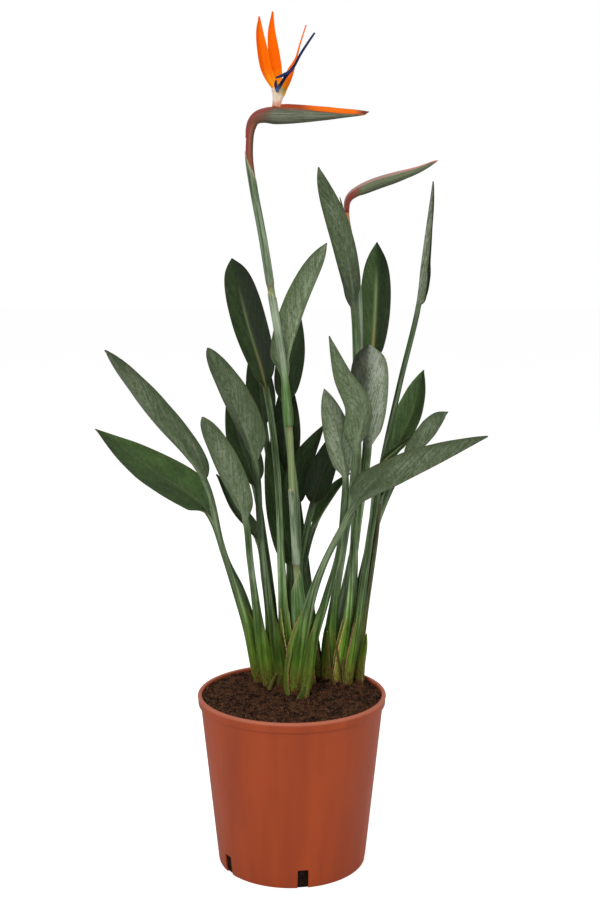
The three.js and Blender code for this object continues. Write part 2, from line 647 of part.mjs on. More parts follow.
function potSolid() {
  const rimFoot = POT_HEIGHT - POT_RIM_HEIGHT;
  const roof = POT_HEIGHT - POT_RIM_HEIGHT / 2;
  const profile = [
    [0, 0],
    [POT_BASE_RADIUS - 1.7, 0],
    [POT_BASE_RADIUS, 1.6],
    [POT_SHOULDER_RADIUS, rimFoot],
    [POT_SHOULDER_RADIUS + 0.6, roof],
    [POT_RIM_RADIUS - 2.2, roof],
    [POT_RIM_RADIUS - 2, rimFoot],
    [POT_RIM_RADIUS - 1, rimFoot],
    [POT_RIM_RADIUS - 0.2, rimFoot + 1.6],
    [POT_RIM_RADIUS, POT_HEIGHT - 5],
    [POT_RIM_RADIUS - 0.9, POT_HEIGHT - 1.8],
    [POT_RIM_RADIUS - 2.6, POT_HEIGHT],
    [POT_MOUTH_RADIUS + 0.9, POT_HEIGHT - 0.2],
    [POT_MOUTH_RADIUS, POT_HEIGHT - 2],
    [POT_SHOULDER_RADIUS - POT_WALL, rimFoot - 1],
    [potRadius(2 * POT_WALL) - POT_WALL, 2 * POT_WALL],
    [potRadius(POT_WALL) - 2 * POT_WALL, POT_WALL],
    [0, POT_WALL],
  ];
  let pot = solidOf(turned(profile, POT_SIDES));
  for (const angle of SLOT_ANGLES) {
    const length = SLOT_FLOOR_LENGTH * 2;
    const cutter = new THREE.BoxGeometry(length, SLOT_WIDTH, SLOT_HEIGHT * 2)
      .translate(POT_BASE_RADIUS, 0, 0)
      .rotateZ(THREE.MathUtils.degToRad(angle));
    pot = pot.subtract(solidOf(cutter));
  }
  return pot;
}

// How far the soil's surface stands above a smooth mound.
function soilRelief(x, y) {
  return SOIL_RELIEF * (0.6 * Math.sin(x / 9 + 1) * Math.cos(y / 7) + 0.4 * Math.sin(x / 4.3 - y / 5.1));
}

function soilSolid(holes) {
  const edge = POT_SHOULDER_RADIUS - POT_WALL - GAP;
  const rimFoot = POT_HEIGHT - POT_RIM_HEIGHT;
  const inside = (height) => potRadius(height) - POT_WALL - GAP;
  const crown = Array.from({ length: SOIL_RINGS }, (_, i) => {
    const share = 1 - i / (SOIL_RINGS - 1);
    return [edge * share, SOIL_EDGE_HEIGHT + SOIL_MOUND * (1 - share ** 2)];
  });
  const profile = [
    [0, POT_WALL + GAP],
    [inside(POT_WALL) - POT_WALL, POT_WALL + GAP],
    [inside(2 * POT_WALL), 2 * POT_WALL + GAP],
    [inside(rimFoot - 1) - GAP, rimFoot - 1],
    ...crown,
  ];
  const geometry = turned(profile, SOIL_SIDES);
  const position = geometry.getAttribute('position');
  for (let i = 0; i < position.count; i += 1) {
    const [x, y, z] = [position.getX(i), position.getY(i), position.getZ(i)];
    if (z >= SOIL_EDGE_HEIGHT) position.setZ(i, z + soilRelief(x, y));
  }
  return holes.reduce((soil, hole) => soil.subtract(solidOf(hole)), solidOf(geometry));
}

function mesh(name, shape, material) {
  const part = new THREE.Mesh(shape.isBufferGeometry ? shape : geometryOf(shape), material);
  part.name = name;
  return part;
}

function roundHole({ foot }) {
  return holeRound(foot, STALK_FACE, circle(STALK_RADIUS), STALK_RADIUS, STALK_RADIUS);
}

function oldSheathHole({ foot, tip, scale }) {
  return leafHole({ foot, stalk: [tip], sheath: scale });
}

// The green of the side that a leaf shows to the front.
function greenOf({ face }) {
  return face[1] > 0 ? GREEN_UNDERSIDE : GREEN_UPPER;
}

const holes = [
  ...LEAVES.map(leafHole),
  ...[FLOWER_STALK, BUD_STALK].map(roundHole),
  ...OLD_SHEATHS.map(oldSheathHole),
];

const sepalFold = THREE.MathUtils.degToRad(SEPAL_FOLD);
const sepals = SEPALS.reduce(
  (solid, sepal) => solid.add(solidOf(petalGeometry(sepal, sepalFold))),
  solidOf(frustumGeometry(SEPAL_CUP)),
);
const petals = BARBS.reduce(
  (solid, line) => solid.add(solidOf(barbGeometry(line))),
  solidOf(petalGeometry(ARROW, 2 * sepalFold)),
);

const plant = new THREE.Group();
plant.add(
  mesh('pot', potSolid(), TERRACOTTA),
  mesh('soil', soilSolid(holes), EARTH),
  ...LEAVES.map((leaf) => mesh(leaf.name, leafGeometry(leaf), greenOf(leaf))),
  ...OLD_SHEATHS.map((sheath) => mesh(sheath.name, oldSheathGeometry(sheath), GREEN_STALK)),
  ...[FLOWER_STALK, BUD_STALK].map((stalk) => mesh(stalk.name, stalkSolid(stalk), GREEN_STALK)),
  ...[FLOWER_SPATHE, BUD_SPATHE].map((spathe) => mesh(spathe.name, spatheGeometry(spathe), GREEN_SPATHE)),
  mesh('flower_emerging', emergingGeometry(FLOWER_SPATHE), ORANGE),
  mesh('flower_base', frustumGeometry(FLOWER_BASE), CREAM),
  mesh('flower_sepals', sepals, ORANGE),
  mesh('flower_petals', petals, BLUE),
);

export default plant;
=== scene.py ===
"""A potted bird of paradise: the visible surface of every piece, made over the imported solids.

Sizes in this file are millimetres in the row's frame (+Z up, +X right, +Y back, origin under the pot)
and become metres when a mesh is made.
"""
from __future__ import annotations

import logging
import math
from collections.abc import Sequence
from dataclasses import dataclass, fields, replace
from enum import Enum

import bpy
import numpy as np
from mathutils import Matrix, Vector

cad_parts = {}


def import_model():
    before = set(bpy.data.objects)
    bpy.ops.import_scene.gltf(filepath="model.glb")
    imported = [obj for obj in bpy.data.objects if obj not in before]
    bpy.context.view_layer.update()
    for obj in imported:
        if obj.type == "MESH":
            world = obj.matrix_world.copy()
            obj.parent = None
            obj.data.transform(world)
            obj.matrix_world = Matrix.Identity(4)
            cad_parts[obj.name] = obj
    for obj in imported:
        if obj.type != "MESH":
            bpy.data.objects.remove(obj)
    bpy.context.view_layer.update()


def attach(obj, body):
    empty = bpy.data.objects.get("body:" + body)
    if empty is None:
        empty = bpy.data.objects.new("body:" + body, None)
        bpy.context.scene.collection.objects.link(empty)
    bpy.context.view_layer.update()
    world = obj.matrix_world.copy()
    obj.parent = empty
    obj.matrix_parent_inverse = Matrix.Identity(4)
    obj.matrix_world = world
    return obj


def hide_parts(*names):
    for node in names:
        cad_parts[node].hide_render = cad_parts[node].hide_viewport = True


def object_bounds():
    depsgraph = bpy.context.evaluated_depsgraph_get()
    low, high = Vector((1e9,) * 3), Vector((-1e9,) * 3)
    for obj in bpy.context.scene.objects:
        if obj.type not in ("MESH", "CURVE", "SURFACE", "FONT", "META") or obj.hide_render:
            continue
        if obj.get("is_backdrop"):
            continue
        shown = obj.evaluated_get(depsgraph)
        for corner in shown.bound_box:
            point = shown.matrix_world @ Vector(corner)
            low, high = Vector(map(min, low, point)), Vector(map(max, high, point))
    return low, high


log = logging.getLogger("potted_strelitzia")

MM = 0.001
BODY = "root"

Point = tuple[float, float, float]
Array = np.ndarray
Frame = tuple[Array, Array, Array]
Socket = bpy.types.NodeSocket
Inputs = dict[str | int, object]

# The height where the stems' centre lines start, and how far the stems go on below it.
GROUND = 214.0
BURIED = 14.0

# Where the up side of a round stem's sections looks.
STALK_FACE = (0.0, -1.0, 0.0)

WHITE = (1.0, 1.0, 1.0, 1.0)


class Slot(Enum):
    """The material slots of the record."""

    POT = "pot"
    SOIL = "soil"
    LEAF = "leaf"
    STALK = "stalk"
    SPATHE = "spathe"
    FLOWER_BASE = "flower_base"
    SEPALS = "sepals"
    PETALS = "petals"


def shade(red: float, green: float, blue: float) -> tuple[float, float, float, float]:
    """A colour as a node socket takes it.

    Args:
        red: Red from 0 to 255, as a screen shows it.
        green: Green, likewise.
        blue: Blue, likewise.

    Returns:
        The linear colour with full alpha.
    """

    def linear(value: float) -> float:
        """One channel, without the screen's curve."""
        value /= 255
        return value / 12.92 if value <= 0.04045 else ((value + 0.055) / 1.055) ** 2.4

    return linear(red), linear(green), linear(blue), 1.0


def smooth(value: float, low: float, high: float) -> float:
    """An eased step from 0 at low to 1 at high."""
    share = min(1.0, max(0.0, (value - low) / (high - low)))
    return share * share * (3 - 2 * share)


def unit(vector: Sequence[float]) -> Array:
    """The vector at length one."""
    array = np.asarray(vector, float)
    return array / np.linalg.norm(array)


def there_and_back(values: Array) -> Array:
    """The values, then the same backwards without the two ends."""
    return np.concatenate([values, values[-2:0:-1]])


def two_faces(values: Array) -> tuple[Array, Array]:
    """The values over one face of a strip and back over the other, with 1 and -1 for the faces."""
    return np.concatenate([values, values[::-1]]), np.repeat([1.0, -1.0], len(values))


def around(radius: float, angle: float, height: float) -> Point:
    """The point at a distance and an angle from the pot's axis."""
    return radius * math.cos(angle), radius * math.sin(angle), height


def add_object(name: str, data: bpy.types.ID) -> bpy.types.Object:
    """Puts a new object in the scene.

    Args:
        name: Its name.
        data: What it shows or is made of.

    Returns:
        The object.
    """
    item = bpy.data.objects.new(name, data)
    bpy.context.scene.collection.objects.link(item)
    return item


def add_body(name: str, points: Sequence[Point] | Array, faces: Sequence[Sequence[int]]) -> bpy.types.Object:
    """Puts a new mesh in the scene, shaded smooth.

    Args:
        name: Its name.
        points: Its points in millimetres.
        faces: Each face as numbers of points.

    Returns:
        The object.
    """
    mesh = bpy.data.meshes.new(name)
    mesh.from_pydata((np.array(points) * MM).tolist(), [], faces)
    mesh.shade_smooth()
    return add_object(name, mesh)


def add_node(tree: bpy.types.NodeTree, kind: str, inputs: Inputs | None = None,
             **settings: object) -> bpy.types.Node:
    """Adds a node to a tree.

    Args:
        tree: The tree.
        kind: The node's type name.
        inputs: Sockets to link and values to set, by the input's name or index.
        settings: Properties of the node.

    Returns:
        The node.
    """
    node = tree.nodes.new(kind)
    for key, value in settings.items():
        setattr(node, key, value)
    for key, value in (inputs or {}).items():
        if isinstance(value, bpy.types.NodeSocket):
            tree.links.new(value, node.inputs[key])
        else:
            node.inputs[key].default_value = value
    return node


class Graph:
    """A material's node tree, with one short method for each kind of node that the finishes use."""

    def __init__(self, name: str) -> None:
        """Starts an empty material.

        Args:
            name: Name of the material.
        """
        self.material = bpy.data.materials.new(name)
        self.material.use_nodes = True
        self.tree = self.material.node_tree
        self.tree.nodes.clear()

    def node(self, kind: str, inputs: Inputs | None = None, **settings: object) -> bpy.types.Node:
        """Adds a node, as add_node does."""
        return add_node(self.tree, kind, inputs, **settings)

    def mark(self, name: str) -> Socket:
        """A number stored on the mesh under this name."""
        return self.node("ShaderNodeAttribute", attribute_name=name).outputs["Fac"]

    def place(self) -> Socket:
        """The point's place on the object, in metres."""
        return self.node("ShaderNodeTexCoord").outputs["Object"]

    def split(self, vector: Socket) -> list[Socket]:
        """The three numbers of a vector."""
        return list(self.node("ShaderNodeSeparateXYZ", {0: vector}).outputs)

    def join(self, x: Socket | float, y: Socket | float, z: Socket | float = 0.0) -> Socket:
        """A vector of three numbers."""
        return self.node("ShaderNodeCombineXYZ", {0: x, 1: y, 2: z}).outputs[0]

    def math(self, operation: str, a: Socket | float, b: Socket | float = 0.0) -> Socket:
        """The result of a sum on two numbers."""
        return self.node("ShaderNodeMath", {0: a, 1: b}, operation=operation).outputs[0]

    def times(self, a: Socket | float, b: Socket | float) -> Socket:
        """One number times another."""
        return self.math("MULTIPLY", a, b)

    def plus(self, a: Socket | float, b: Socket | float) -> Socket:
        """The sum of two numbers."""
        return self.math("ADD", a, b)

    def most(self, a: Socket | float, b: Socket | float) -> Socket:
        """The larger of two numbers."""
        return self.math("MAXIMUM", a, b)

    def stretched(self, vector: Socket, scale: Point) -> Socket:
        """The vector, scaled along each axis."""
        return self.node("ShaderNodeMapping", {"Vector": vector, "Scale": scale}).outputs[0]

    def noise(self, vector: Socket, scale: float, detail: float = 2.0, rough: float = 0.5) -> Socket:
        """Soft noise from 0 to 1."""
        inputs = {"Vector": vector, "Scale": scale, "Detail": detail, "Roughness": rough}
        return self.node("ShaderNodeTexNoise", inputs).outputs["Fac"]

    def drawn(self, a: Socket, a_scale: float, b: Socket, b_scale: float, seed: Socket | float,
              detail: float = 5.0, rough: float = 0.7) -> Socket:
        """Noise over two numbers, each times its scale, another one for each seed."""
        return self.noise(self.join(self.times(a, a_scale), self.times(b, b_scale), seed), 1, detail, rough)

    def cells(self, vector: Socket, scale: float) -> Socket:
        """The distance to the nearest of scattered points, in cells."""
        return self.node("ShaderNodeTexVoronoi", {"Vector": vector, "Scale": scale}).outputs["Distance"]

    def step(self, value: Socket, low: float, high: float, start: float = 0.0, end: float = 1.0) -> Socket:
        """An eased step from start at low to end at high."""
        inputs = {"Value": value, "From Min": low, "From Max": high, "To Min": start, "To Max": end}
        return self.node("ShaderNodeMapRange", inputs, interpolation_type="SMOOTHSTEP").outputs[0]

    def blend(self, share: Socket | float, a: object, b: object, kind: str = "MIX") -> Socket:
        """Colour a with a share of colour b."""
        inputs = {0: share, 6: a, 7: b}
        return self.node("ShaderNodeMix", inputs, data_type="RGBA", blend_type=kind).outputs[2]

    def tint(self, a: object, b: object, value: Socket, *steps: float) -> Socket:
        """Colour a with a share of colour b, which steps with a value."""
        return self.blend(self.step(value, *steps), a, b)

    def lighter(self, colour: object, amount: Socket) -> Socket:
        """The colour, times an amount around 1."""
        return self.blend(1.0, colour, self.join(amount, amount, amount), "MULTIPLY")

    def vary(self, colour: object, value: Socket, *steps: float) -> Socket:
        """The colour, times an amount around 1, which steps with a value."""
        return self.lighter(colour, self.step(value, *steps))

    def bump(self, height: Socket, depth: float, below: Socket | None = None) -> Socket:
        """A relief.

        Args:
            height: Height from 0 to 1.
            depth: How deep the relief is, in millimetres.
            below: A relief that this one lies on.

        Returns:
            The normal.
        """
        inputs: Inputs = {"Height": height, "Distance": depth * MM, "Strength": 1.0}
        if below is not None:
            inputs["Normal"] = below
        return self.node("ShaderNodeBump", inputs).outputs[0]

    def finish(self, colour: object, rough: Socket | float, shine: float, normal: Socket | None = None,
               **uniform: object) -> bpy.types.Material:
        """Ends the tree in a surface.

        Args:
            colour: Base colour.
            rough: Roughness.
            shine: How much the surface reflects, from 0 to 1.
            normal: Normal of the relief.
            uniform: Other inputs of the surface, with _ for spaces.

        Returns:
            The material.
        """
        inputs: Inputs = {"Base Color": colour, "Roughness": rough, "Specular IOR Level": shine}
        inputs |= {key.replace("_", " "): value for key, value in uniform.items()}
        if normal is not None:
            inputs["Normal"] = normal
        surface = self.node("ShaderNodeBsdfPrincipled", inputs)
        self.node("ShaderNodeOutputMaterial", {"Surface": surface.outputs[0]})
        return self.material


@dataclass(frozen=True)
class PotPlastic:
    """Terracotta-coloured plastic with a satin moulded face, paler where it has rubbed, and a painted
    highlight in pale pink along its rim.
    """

    colour: tuple = shade(170, 71, 30)
    deep: tuple = shade(154, 63, 29)
    worn: tuple = shade(184, 100, 66)
    # Painted highlight: pale pink along the top of the rim, between the heights lip_from and lip_to.
    lip: tuple = shade(206, 126, 100)
    lip_from: float = 214
    lip_to: float = 218.6

    def material(self) -> bpy.types.Material:
        """The finish as a material."""
        g = Graph("pot_plastic")
        place = g.place()
        banding = g.noise(g.stretched(place, (1, 1, 0.08)), 34, 3)
        mottle = g.noise(place, 14, 4, 0.6)
        scuffs = g.noise(g.stretched(place, (1, 1, 2.2)), 60, 6, 0.7)
        colour = g.tint(self.colour, self.deep, banding, 0.3, 0.75)
        colour = g.vary(colour, mottle, 0.25, 0.75, 0.96, 1.04)
        colour = g.tint(colour, self.worn, scuffs, 0.62, 0.8, 0, 0.3)
        # Painted highlight: pale pink on the rim's top, by height.
        colour = g.tint(colour, self.lip, g.split(place)[2], self.lip_from * MM, self.lip_to * MM, 0, 0.6)
        normal = g.bump(g.noise(place, 1400, 2), 0.05, g.bump(mottle, 0.3))
        return g.finish(colour, g.step(mottle, 0.3, 0.7, 0.46, 0.56), 0.25, normal)


@dataclass(frozen=True)
class PottingMix:
    """Moist brown peat with pale fibres and darker hollows, partly its own colour and partly painted shade;
    low down, where the pot's slots show it, it is painted dark as shade.
    """

    colour: tuple = shade(96, 62, 42)
    deep: tuple = shade(28, 17, 11)
    fleck: tuple = shade(176, 128, 88)

    def material(self) -> bpy.types.Material:
        """The finish as a material."""
        g = Graph("potting_mix")
        place = g.place()
        lumps = g.noise(place, 110, 6, 0.75)
        # Darker in the relief's hollows: partly the peat's own colour, partly painted shade.
        colour = g.tint(self.deep, self.colour, lumps, 0.4, 0.62)
        colour = g.tint(colour, self.fleck, g.noise(place, 620, 3, 0.6), 0.6, 0.68, 0, 0.8)
        # Painted shade: the soil is darkened low down, inside the pot where the slots show it.
        colour = g.vary(colour, g.split(place)[2], 0.03, 0.045, 0.25, 1)
        return g.finish(colour, 0.95, 0.15, g.bump(g.cells(place, 520), 0.8, g.bump(lumps, 2.4)))


@dataclass(frozen=True)
class LeafSkin:
    """A leaf from its clasping sheath to its tip: dark and satin above, waxy grey-green below."""

    upper: tuple = shade(43, 58, 32)
    upper_light: tuple = shade(68, 90, 48)
    midrib: tuple = shade(122, 136, 92)
    midrib_low: tuple = shade(140, 134, 84)
    # Painted light shining through a blade, which makes one half greener.
    fresh: tuple = shade(48, 76, 22)
    rind: tuple = shade(34, 42, 26)
    under: tuple = shade(72, 90, 54)
    bloom: tuple = shade(134, 145, 118)
    silver: tuple = shade(170, 174, 164)
    stalk: tuple = shade(54, 76, 40)
    stalk_bloom: tuple = shade(132, 150, 114)
    sheath: tuple = shade(46, 76, 10)
    sheath_light: tuple = shade(118, 144, 50)
    foot: tuple = shade(112, 122, 44)
    dry: tuple = shade(176, 152, 104)
    rust: tuple = shade(92, 56, 32)

    def material(self) -> bpy.types.Material:
        """The finish as a material.

        The mesh's numbers: across is -1 to 1 from margin to margin and further out on the sheath's thin
        margins, along is 0 at the soil, 1 at the collar and 2 at the tip, and run is the length in metres.
        """
        g = Graph("leaf_skin")
        across, along, run, seed = (g.mark(name) for name in ("across", "along", "run", "seed"))
        patches = g.drawn(run, 24, across, 1.3, seed, 4, 0.6)
        blade, veins = self.blade(g, patches)
        stalk, fibres = self.stem(g, patches)
        colour = g.tint(stalk, blade, along, 0.93, 1.05)
        colour = g.tint(colour, self.rust, along, 1.985, 1.998, 0, 0.6)
        # Tone, set leaf by leaf, holds painted light and shade as well as each leaf's own lightness.
        colour = g.lighter(colour, g.mark("tone"))
        rough = g.plus(g.times(g.mark("upper"), -0.06), g.step(patches, 0.3, 0.7, 0.56, 0.66))
        return g.finish(colour, rough, 0.16, g.bump(veins, 0.14, g.bump(fibres, 0.16)))

    def blade(self, g: Graph, patches: Socket) -> tuple[Socket, Socket]:
        """The blade's looks.

        Args:
            g: The tree.
            patches: Soft noise over the leaf.

        Returns:
            The colour and the height of the side veins.
        """
        across, along, run, seed = (g.mark(name) for name in ("across", "along", "run", "seed"))
        vein, bloom = g.mark("vein"), g.mark("bloom")
        width = g.math("ABSOLUTE", across)
        mottle = g.noise(g.stretched(g.place(), (1, 1, 0.5)), 330, 5, 0.75)
        veins = g.plus(g.times(g.drawn(vein, 700, run, 22, seed), 0.55), g.times(mottle, 0.45))
        # Painted light shining through the blade: one half greener.
        top = g.blend(g.mark("fresh"), self.upper, self.fresh)
        top = g.tint(top, self.upper_light, veins, 0.42, 0.62, 0, 0.6)
        top = g.vary(top, patches, 0.25, 0.75, 0.7, 1.3)
        top = g.blend(g.mark("rib"), top, g.tint(self.midrib, self.midrib_low, along, 1.42, 1.12))
        wax = g.times(g.step(veins, 0.41, 0.6, 0.12, 1), g.step(patches, 0.3, 0.66, 0.4, 1))
        # Less wax towards the margins darkens them: partly the wax's own spread, partly painted sheen that
        # lights the middle of the blade.
        wax = g.times(wax, g.step(width, 1.0, 0.5, 0.35, 1))
        low = g.blend(g.times(wax, bloom), self.under, self.bloom)
        low = g.blend(g.times(wax, g.step(bloom, 1.2, 1.8, 0, 0.8)), low, self.silver)
        low = g.blend(g.times(g.mark("keel"), g.step(along, 1.5, 1.1, 0.05, 0.45)), low, self.stalk_bloom)
        low = g.tint(low, self.rind, g.drawn(vein, 1500, run, 420, seed, 2, 0.5), 0.6, 0.68, 0, 0.5)
        specks = g.step(g.drawn(run, 150, across, 4, seed, 3, 0.6), 0.6, 0.68)
        worn = g.times(specks, g.step(width, 0.86, 0.97, 0, 0.75))
        edge = g.most(worn, g.step(width, 0.955, 0.99, 0, 0.35))
        return g.blend(edge, g.blend(g.mark("upper"), low, top), self.rust), veins

    def stem(self, g: Graph, patches: Socket) -> tuple[Socket, Socket]:
        """The looks of the stalk and sheath.

        Args:
            g: The tree.
            patches: Soft noise over the leaf.

        Returns:
            The colour and the height of the fibres.
        """
        across, run, seed, margin = (g.mark(name) for name in ("across", "run", "seed", "margin"))
        fibres = g.drawn(across, 4.5, run, 8, seed)
        blotch = g.drawn(run, 240, across, 6, seed, 4)
        stalk = g.tint(self.stalk, self.stalk_bloom, fibres, 0.38, 0.66, 0, 0.85)
        sheath = g.tint(self.sheath, self.sheath_light, fibres, 0.36, 0.7, 0, 0.75)
        colour = g.tint(sheath, stalk, run, 0.04, 0.16)
        colour = g.vary(colour, patches, 0.28, 0.72, 0.55, 1.3)
        colour = g.vary(colour, run, 0.08, 0.28, 1.3, 1)
        colour = g.tint(colour, self.sheath_light, margin, 0.1, 0.85, 0, 0.6)
        colour = g.tint(colour, self.foot, run, 0.05, 0.006, 0, 0.7)
        soiled = g.times(g.step(run, 0.04, 0.006), g.step(blotch, 0.44, 0.58))
        soiled = g.most(soiled, g.step(g.plus(run, g.times(blotch, -0.012)), 0.004, -0.003))
        withered = g.times(g.mark("withered"), g.step(blotch, 0.3, 0.62, 0.35, 1))
        colour = g.blend(g.most(soiled, withered), colour, self.rust)
        ragged = g.plus(margin, g.times(blotch, 0.8))
        colour = g.tint(colour, self.rust, ragged, 1.1, 1.22, 0, 0.8)
        return g.tint(colour, self.dry, ragged, 1.22, 1.34), fibres


@dataclass(frozen=True)
class StemSkin:
    """A flower stalk and its bracts: pale waxy green, red-brown towards the flower."""

    name: str
    reds_from: float
    reds_to: float
    green: tuple = shade(62, 86, 46)
    bloom: tuple = shade(160, 176, 148)
    bright: tuple = shade(76, 122, 30)
    bare: tuple = shade(134, 150, 100)
    red: tuple = shade(134, 72, 48)
    crimson: tuple = shade(142, 44, 50)
    # Painted shade: dark brown on the neck's lower, right face.
    painted_shade: tuple = shade(78, 60, 42)
    dry: tuple = shade(196, 186, 140)
    node: tuple = shade(120, 98, 62)

    def material(self) -> bpy.types.Material:
        """The finish as a material.

        The mesh's numbers: across goes round the stalk, sleeve is 1 on the bracts, and crimson is 1 on
        the face that looks at the spathe and below 0 on the one that looks away, which is painted dark brown
        as shade.
        """
        g = Graph(self.name)
        turn, seed, crimson = (g.mark(name) for name in ("across", "seed", "crimson"))
        height = g.split(g.place())[2]
        fibres = g.drawn(turn, 11, height, 12, seed)
        patches = g.drawn(turn, 2, height, 22, seed, 3, 0.5)
        colour = g.tint(self.green, self.bloom, fibres, 0.42, 0.6, 0, 0.6)
        pale = g.times(g.mark("pale"), g.step(patches, 0.3, 0.65, 0.15, 0.85))
        colour = g.blend(pale, colour, self.bloom)
        # The bracts' own bright green low down.
        fresh = g.times(g.mark("bright"), g.step(fibres, 0.62, 0.4, 0.45, 1))
        colour = g.blend(fresh, colour, self.bright)
        colour = g.vary(colour, fibres, 0.3, 0.7, 0.8, 1.16)
        colour = g.vary(colour, patches, 0.25, 0.75, 0.84, 1.12)
        stalk = g.vary(self.bare, fibres, 0.3, 0.7, 0.72, 1.25)
        reds = g.vary(self.red, fibres, 0.3, 0.7, 0.75, 1.35)
        stalk = g.tint(stalk, reds, height, self.reds_from * MM, self.reds_to * MM)
        stalk = g.tint(stalk, self.crimson, crimson, 0, 1)
        # Painted shade: dark brown where crimson is below 0, on the neck's lower, right face.
        stalk = g.tint(stalk, self.painted_shade, crimson, 0, -1)
        colour = g.blend(g.mark("sleeve"), stalk, colour)
        dry = g.times(g.mark("edge"), g.step(fibres, 0.36, 0.6, 0.4, 0.95))
        colour = g.blend(g.mark("knot"), g.blend(dry, colour, self.dry), self.node)
        return g.finish(colour, 0.5, 0.3, g.bump(fibres, 0.2))


@dataclass(frozen=True)
class SpatheSkin:
    """A boat-shaped bract: grey-green flanks, red at the neck and along the lips."""

    name: str
    lip_glow: float
    tip_glow: float
    lip_from: float = 0.72
    green: tuple = shade(58, 64, 42)
    bloom: tuple = shade(126, 130, 108)
    red: tuple = shade(150, 74, 50)
    neck: tuple = shade(116, 68, 46)
    neck_top: tuple = shade(146, 54, 58)
    lip: tuple = shade(222, 92, 34)
    end: tuple = shade(232, 150, 60)

    def material(self) -> bpy.types.Material:
        """The finish as a material. The mesh's rise is -1 at the keel and 1 at the lips."""
        g = Graph(self.name)
        along, rise = g.mark("along"), g.mark("rise")
        streaks = g.drawn(along, 2.6, rise, 6, 0.3)
        colour = g.tint(self.green, self.bloom, streaks, 0.32, 0.7, 0.05, 0.85)
        colour = g.vary(colour, g.noise(g.place(), 60, 4, 0.6), 0.3, 0.7, 0.84, 1.1)
        # Painted shade: darker towards the keel, on the spathe's under side, and a little lighter towards its
        # lips.
        colour = g.vary(colour, rise, -1.0, 0.1, 0.66, 1.04)
        reach = g.plus(g.plus(along, g.times(streaks, -0.1)), g.times(rise, -0.05))
        colour = g.tint(colour, g.tint(self.neck, self.neck_top, rise, 0, 0.8), reach, 0.03, -0.1)
        upper = g.step(g.plus(rise, g.times(streaks, 0.3)), self.lip_from, self.lip_from + 0.28)
        colour = g.blend(g.times(upper, g.step(along, 0.18, 0.34, 0.9, self.lip_glow)), colour, self.red)
        glow = g.times(g.step(rise, 0.6, 0.98), g.step(along, 0.5, 0.8, 0, self.tip_glow))
        colour = g.blend(glow, colour, self.lip)
        colour = g.tint(colour, self.end, along, 0.9, 1.0, 0, 0.75)
        return g.finish(colour, 0.5, 0.3, g.bump(streaks, 0.25))


@dataclass(frozen=True)
class PetalSkin:
    """A sepal or petal: fine veins along it, one colour at the foot and another at the tip."""

    name: str
    foot: tuple
    middle: tuple
    tip: tuple
    veins: tuple
    rough: float = 0.55
    foot_starts: float = 0.02
    foot_ends: float = 0.3

    def material(self) -> bpy.types.Material:
        """The finish as a material."""
        g = Graph(self.name)
        along = g.mark("along")
        lines = g.drawn(g.mark("across"), 8, along, 1.5, g.mark("seed"), 4)
        colour = g.tint(self.foot, self.middle, along, self.foot_starts, self.foot_ends)
        colour = g.tint(colour, self.tip, along, 0.84, 1)
        colour = g.tint(colour, self.veins, lines, 0.4, 0.72, 0, 0.6)
        return g.finish(colour, self.rough, 0.04, g.bump(lines, 0.25))


@dataclass(frozen=True)
class CreamSkin:
    """The pale foot of the flower, pink at its lower end and green on its right."""

    cream: tuple = shade(238, 214, 190)
    pink: tuple = shade(220, 150, 118)
    green: tuple = shade(190, 184, 96)

    def material(self) -> bpy.types.Material:
        """The finish as a material."""
        g = Graph("flower_cream")
        place = g.place()
        side, _, height = g.split(place)
        streaks = g.noise(g.stretched(place, (1, 1, 0.16)), 420, 4, 0.6)
        colour = g.tint(self.pink, self.cream, height, 0.949, 0.957)
        right = g.times(g.step(side, -0.018, -0.011), g.step(height, 0.957, 0.966))
        colour = g.blend(g.times(right, 0.85), colour, self.green)
        colour = g.vary(colour, streaks, 0.3, 0.7, 0.78, 1.1)
        return g.finish(colour, 0.55, 0.2, g.bump(streaks, 0.25))


class CentreLine:
    """A smooth line through given points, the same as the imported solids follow."""

    def __init__(self, points: Sequence[Sequence[float]]) -> None:
        """Keeps the points.

        Args:
            points: Points on the line in millimetres.
        """
        self.points = np.array(points, float)

    def at(self, t: float) -> Array:
        """A point on the line.

        Args:
            t: Where on the line, from 0 to 1.

        Returns:
            The point.
        """
        points, last = self.points, len(self.points) - 1
        place = min(max(t, 0.0), 1.0) * last
        low = min(int(place), last - 1)
        w = place - low
        b, c = points[low], points[low + 1]
        a = points[low - 1] if low > 0 else 2 * b - c
        d = points[low + 2] if low + 2 <= last else 2 * c - b
        ab, bc, cd = (math.sqrt(np.linalg.norm(q - p)) for p, q in ((a, b), (b, c), (c, d)))
        start = ((b - a) / ab - (c - a) / (ab + bc) + (c - b) / bc) * bc
        end = ((c - b) / bc - (d - b) / (bc + cd) + (d - c) / cd) * bc
        return (b + start * w + (3 * (c - b) - 2 * start - end) * w * w
                + (2 * (b - c) + start + end) * w ** 3)

    def heading(self, t: float) -> Array:
        """The direction of the line at t."""
        low, high = max(0.0, t - 1e-4), min(1.0, t + 1e-4)
        return unit(self.at(high) - self.at(low))

    def frame(self, t: float, face: Sequence[float]) -> Frame:
        """A frame across the line.

        Args:
            t: Where on the line.
            face: Which way the frame's up looks, as near as it can.

        Returns:
            Origin, side and up.
        """
        heading, face = self.heading(t), np.asarray(face, float)
        up = unit(face - heading * face.dot(heading))
        return self.at(t), np.cross(up, heading), up

    def station(self, value: float, axis: int = 2, high: float = 0.95) -> float:
        """Where the line reaches a value, if it rises all along.

        Args:
            value: The value.
            axis: Which number of the points it is, 2 for the height.
            high: Where the search ends.

        Returns:
            The place on the line.
        """
        low = 0.0
        while high - low > 1e-4:
            middle = (low + high) / 2
            low, high = (middle, high) if self.at(middle)[axis] < value else (low, middle)
        return low


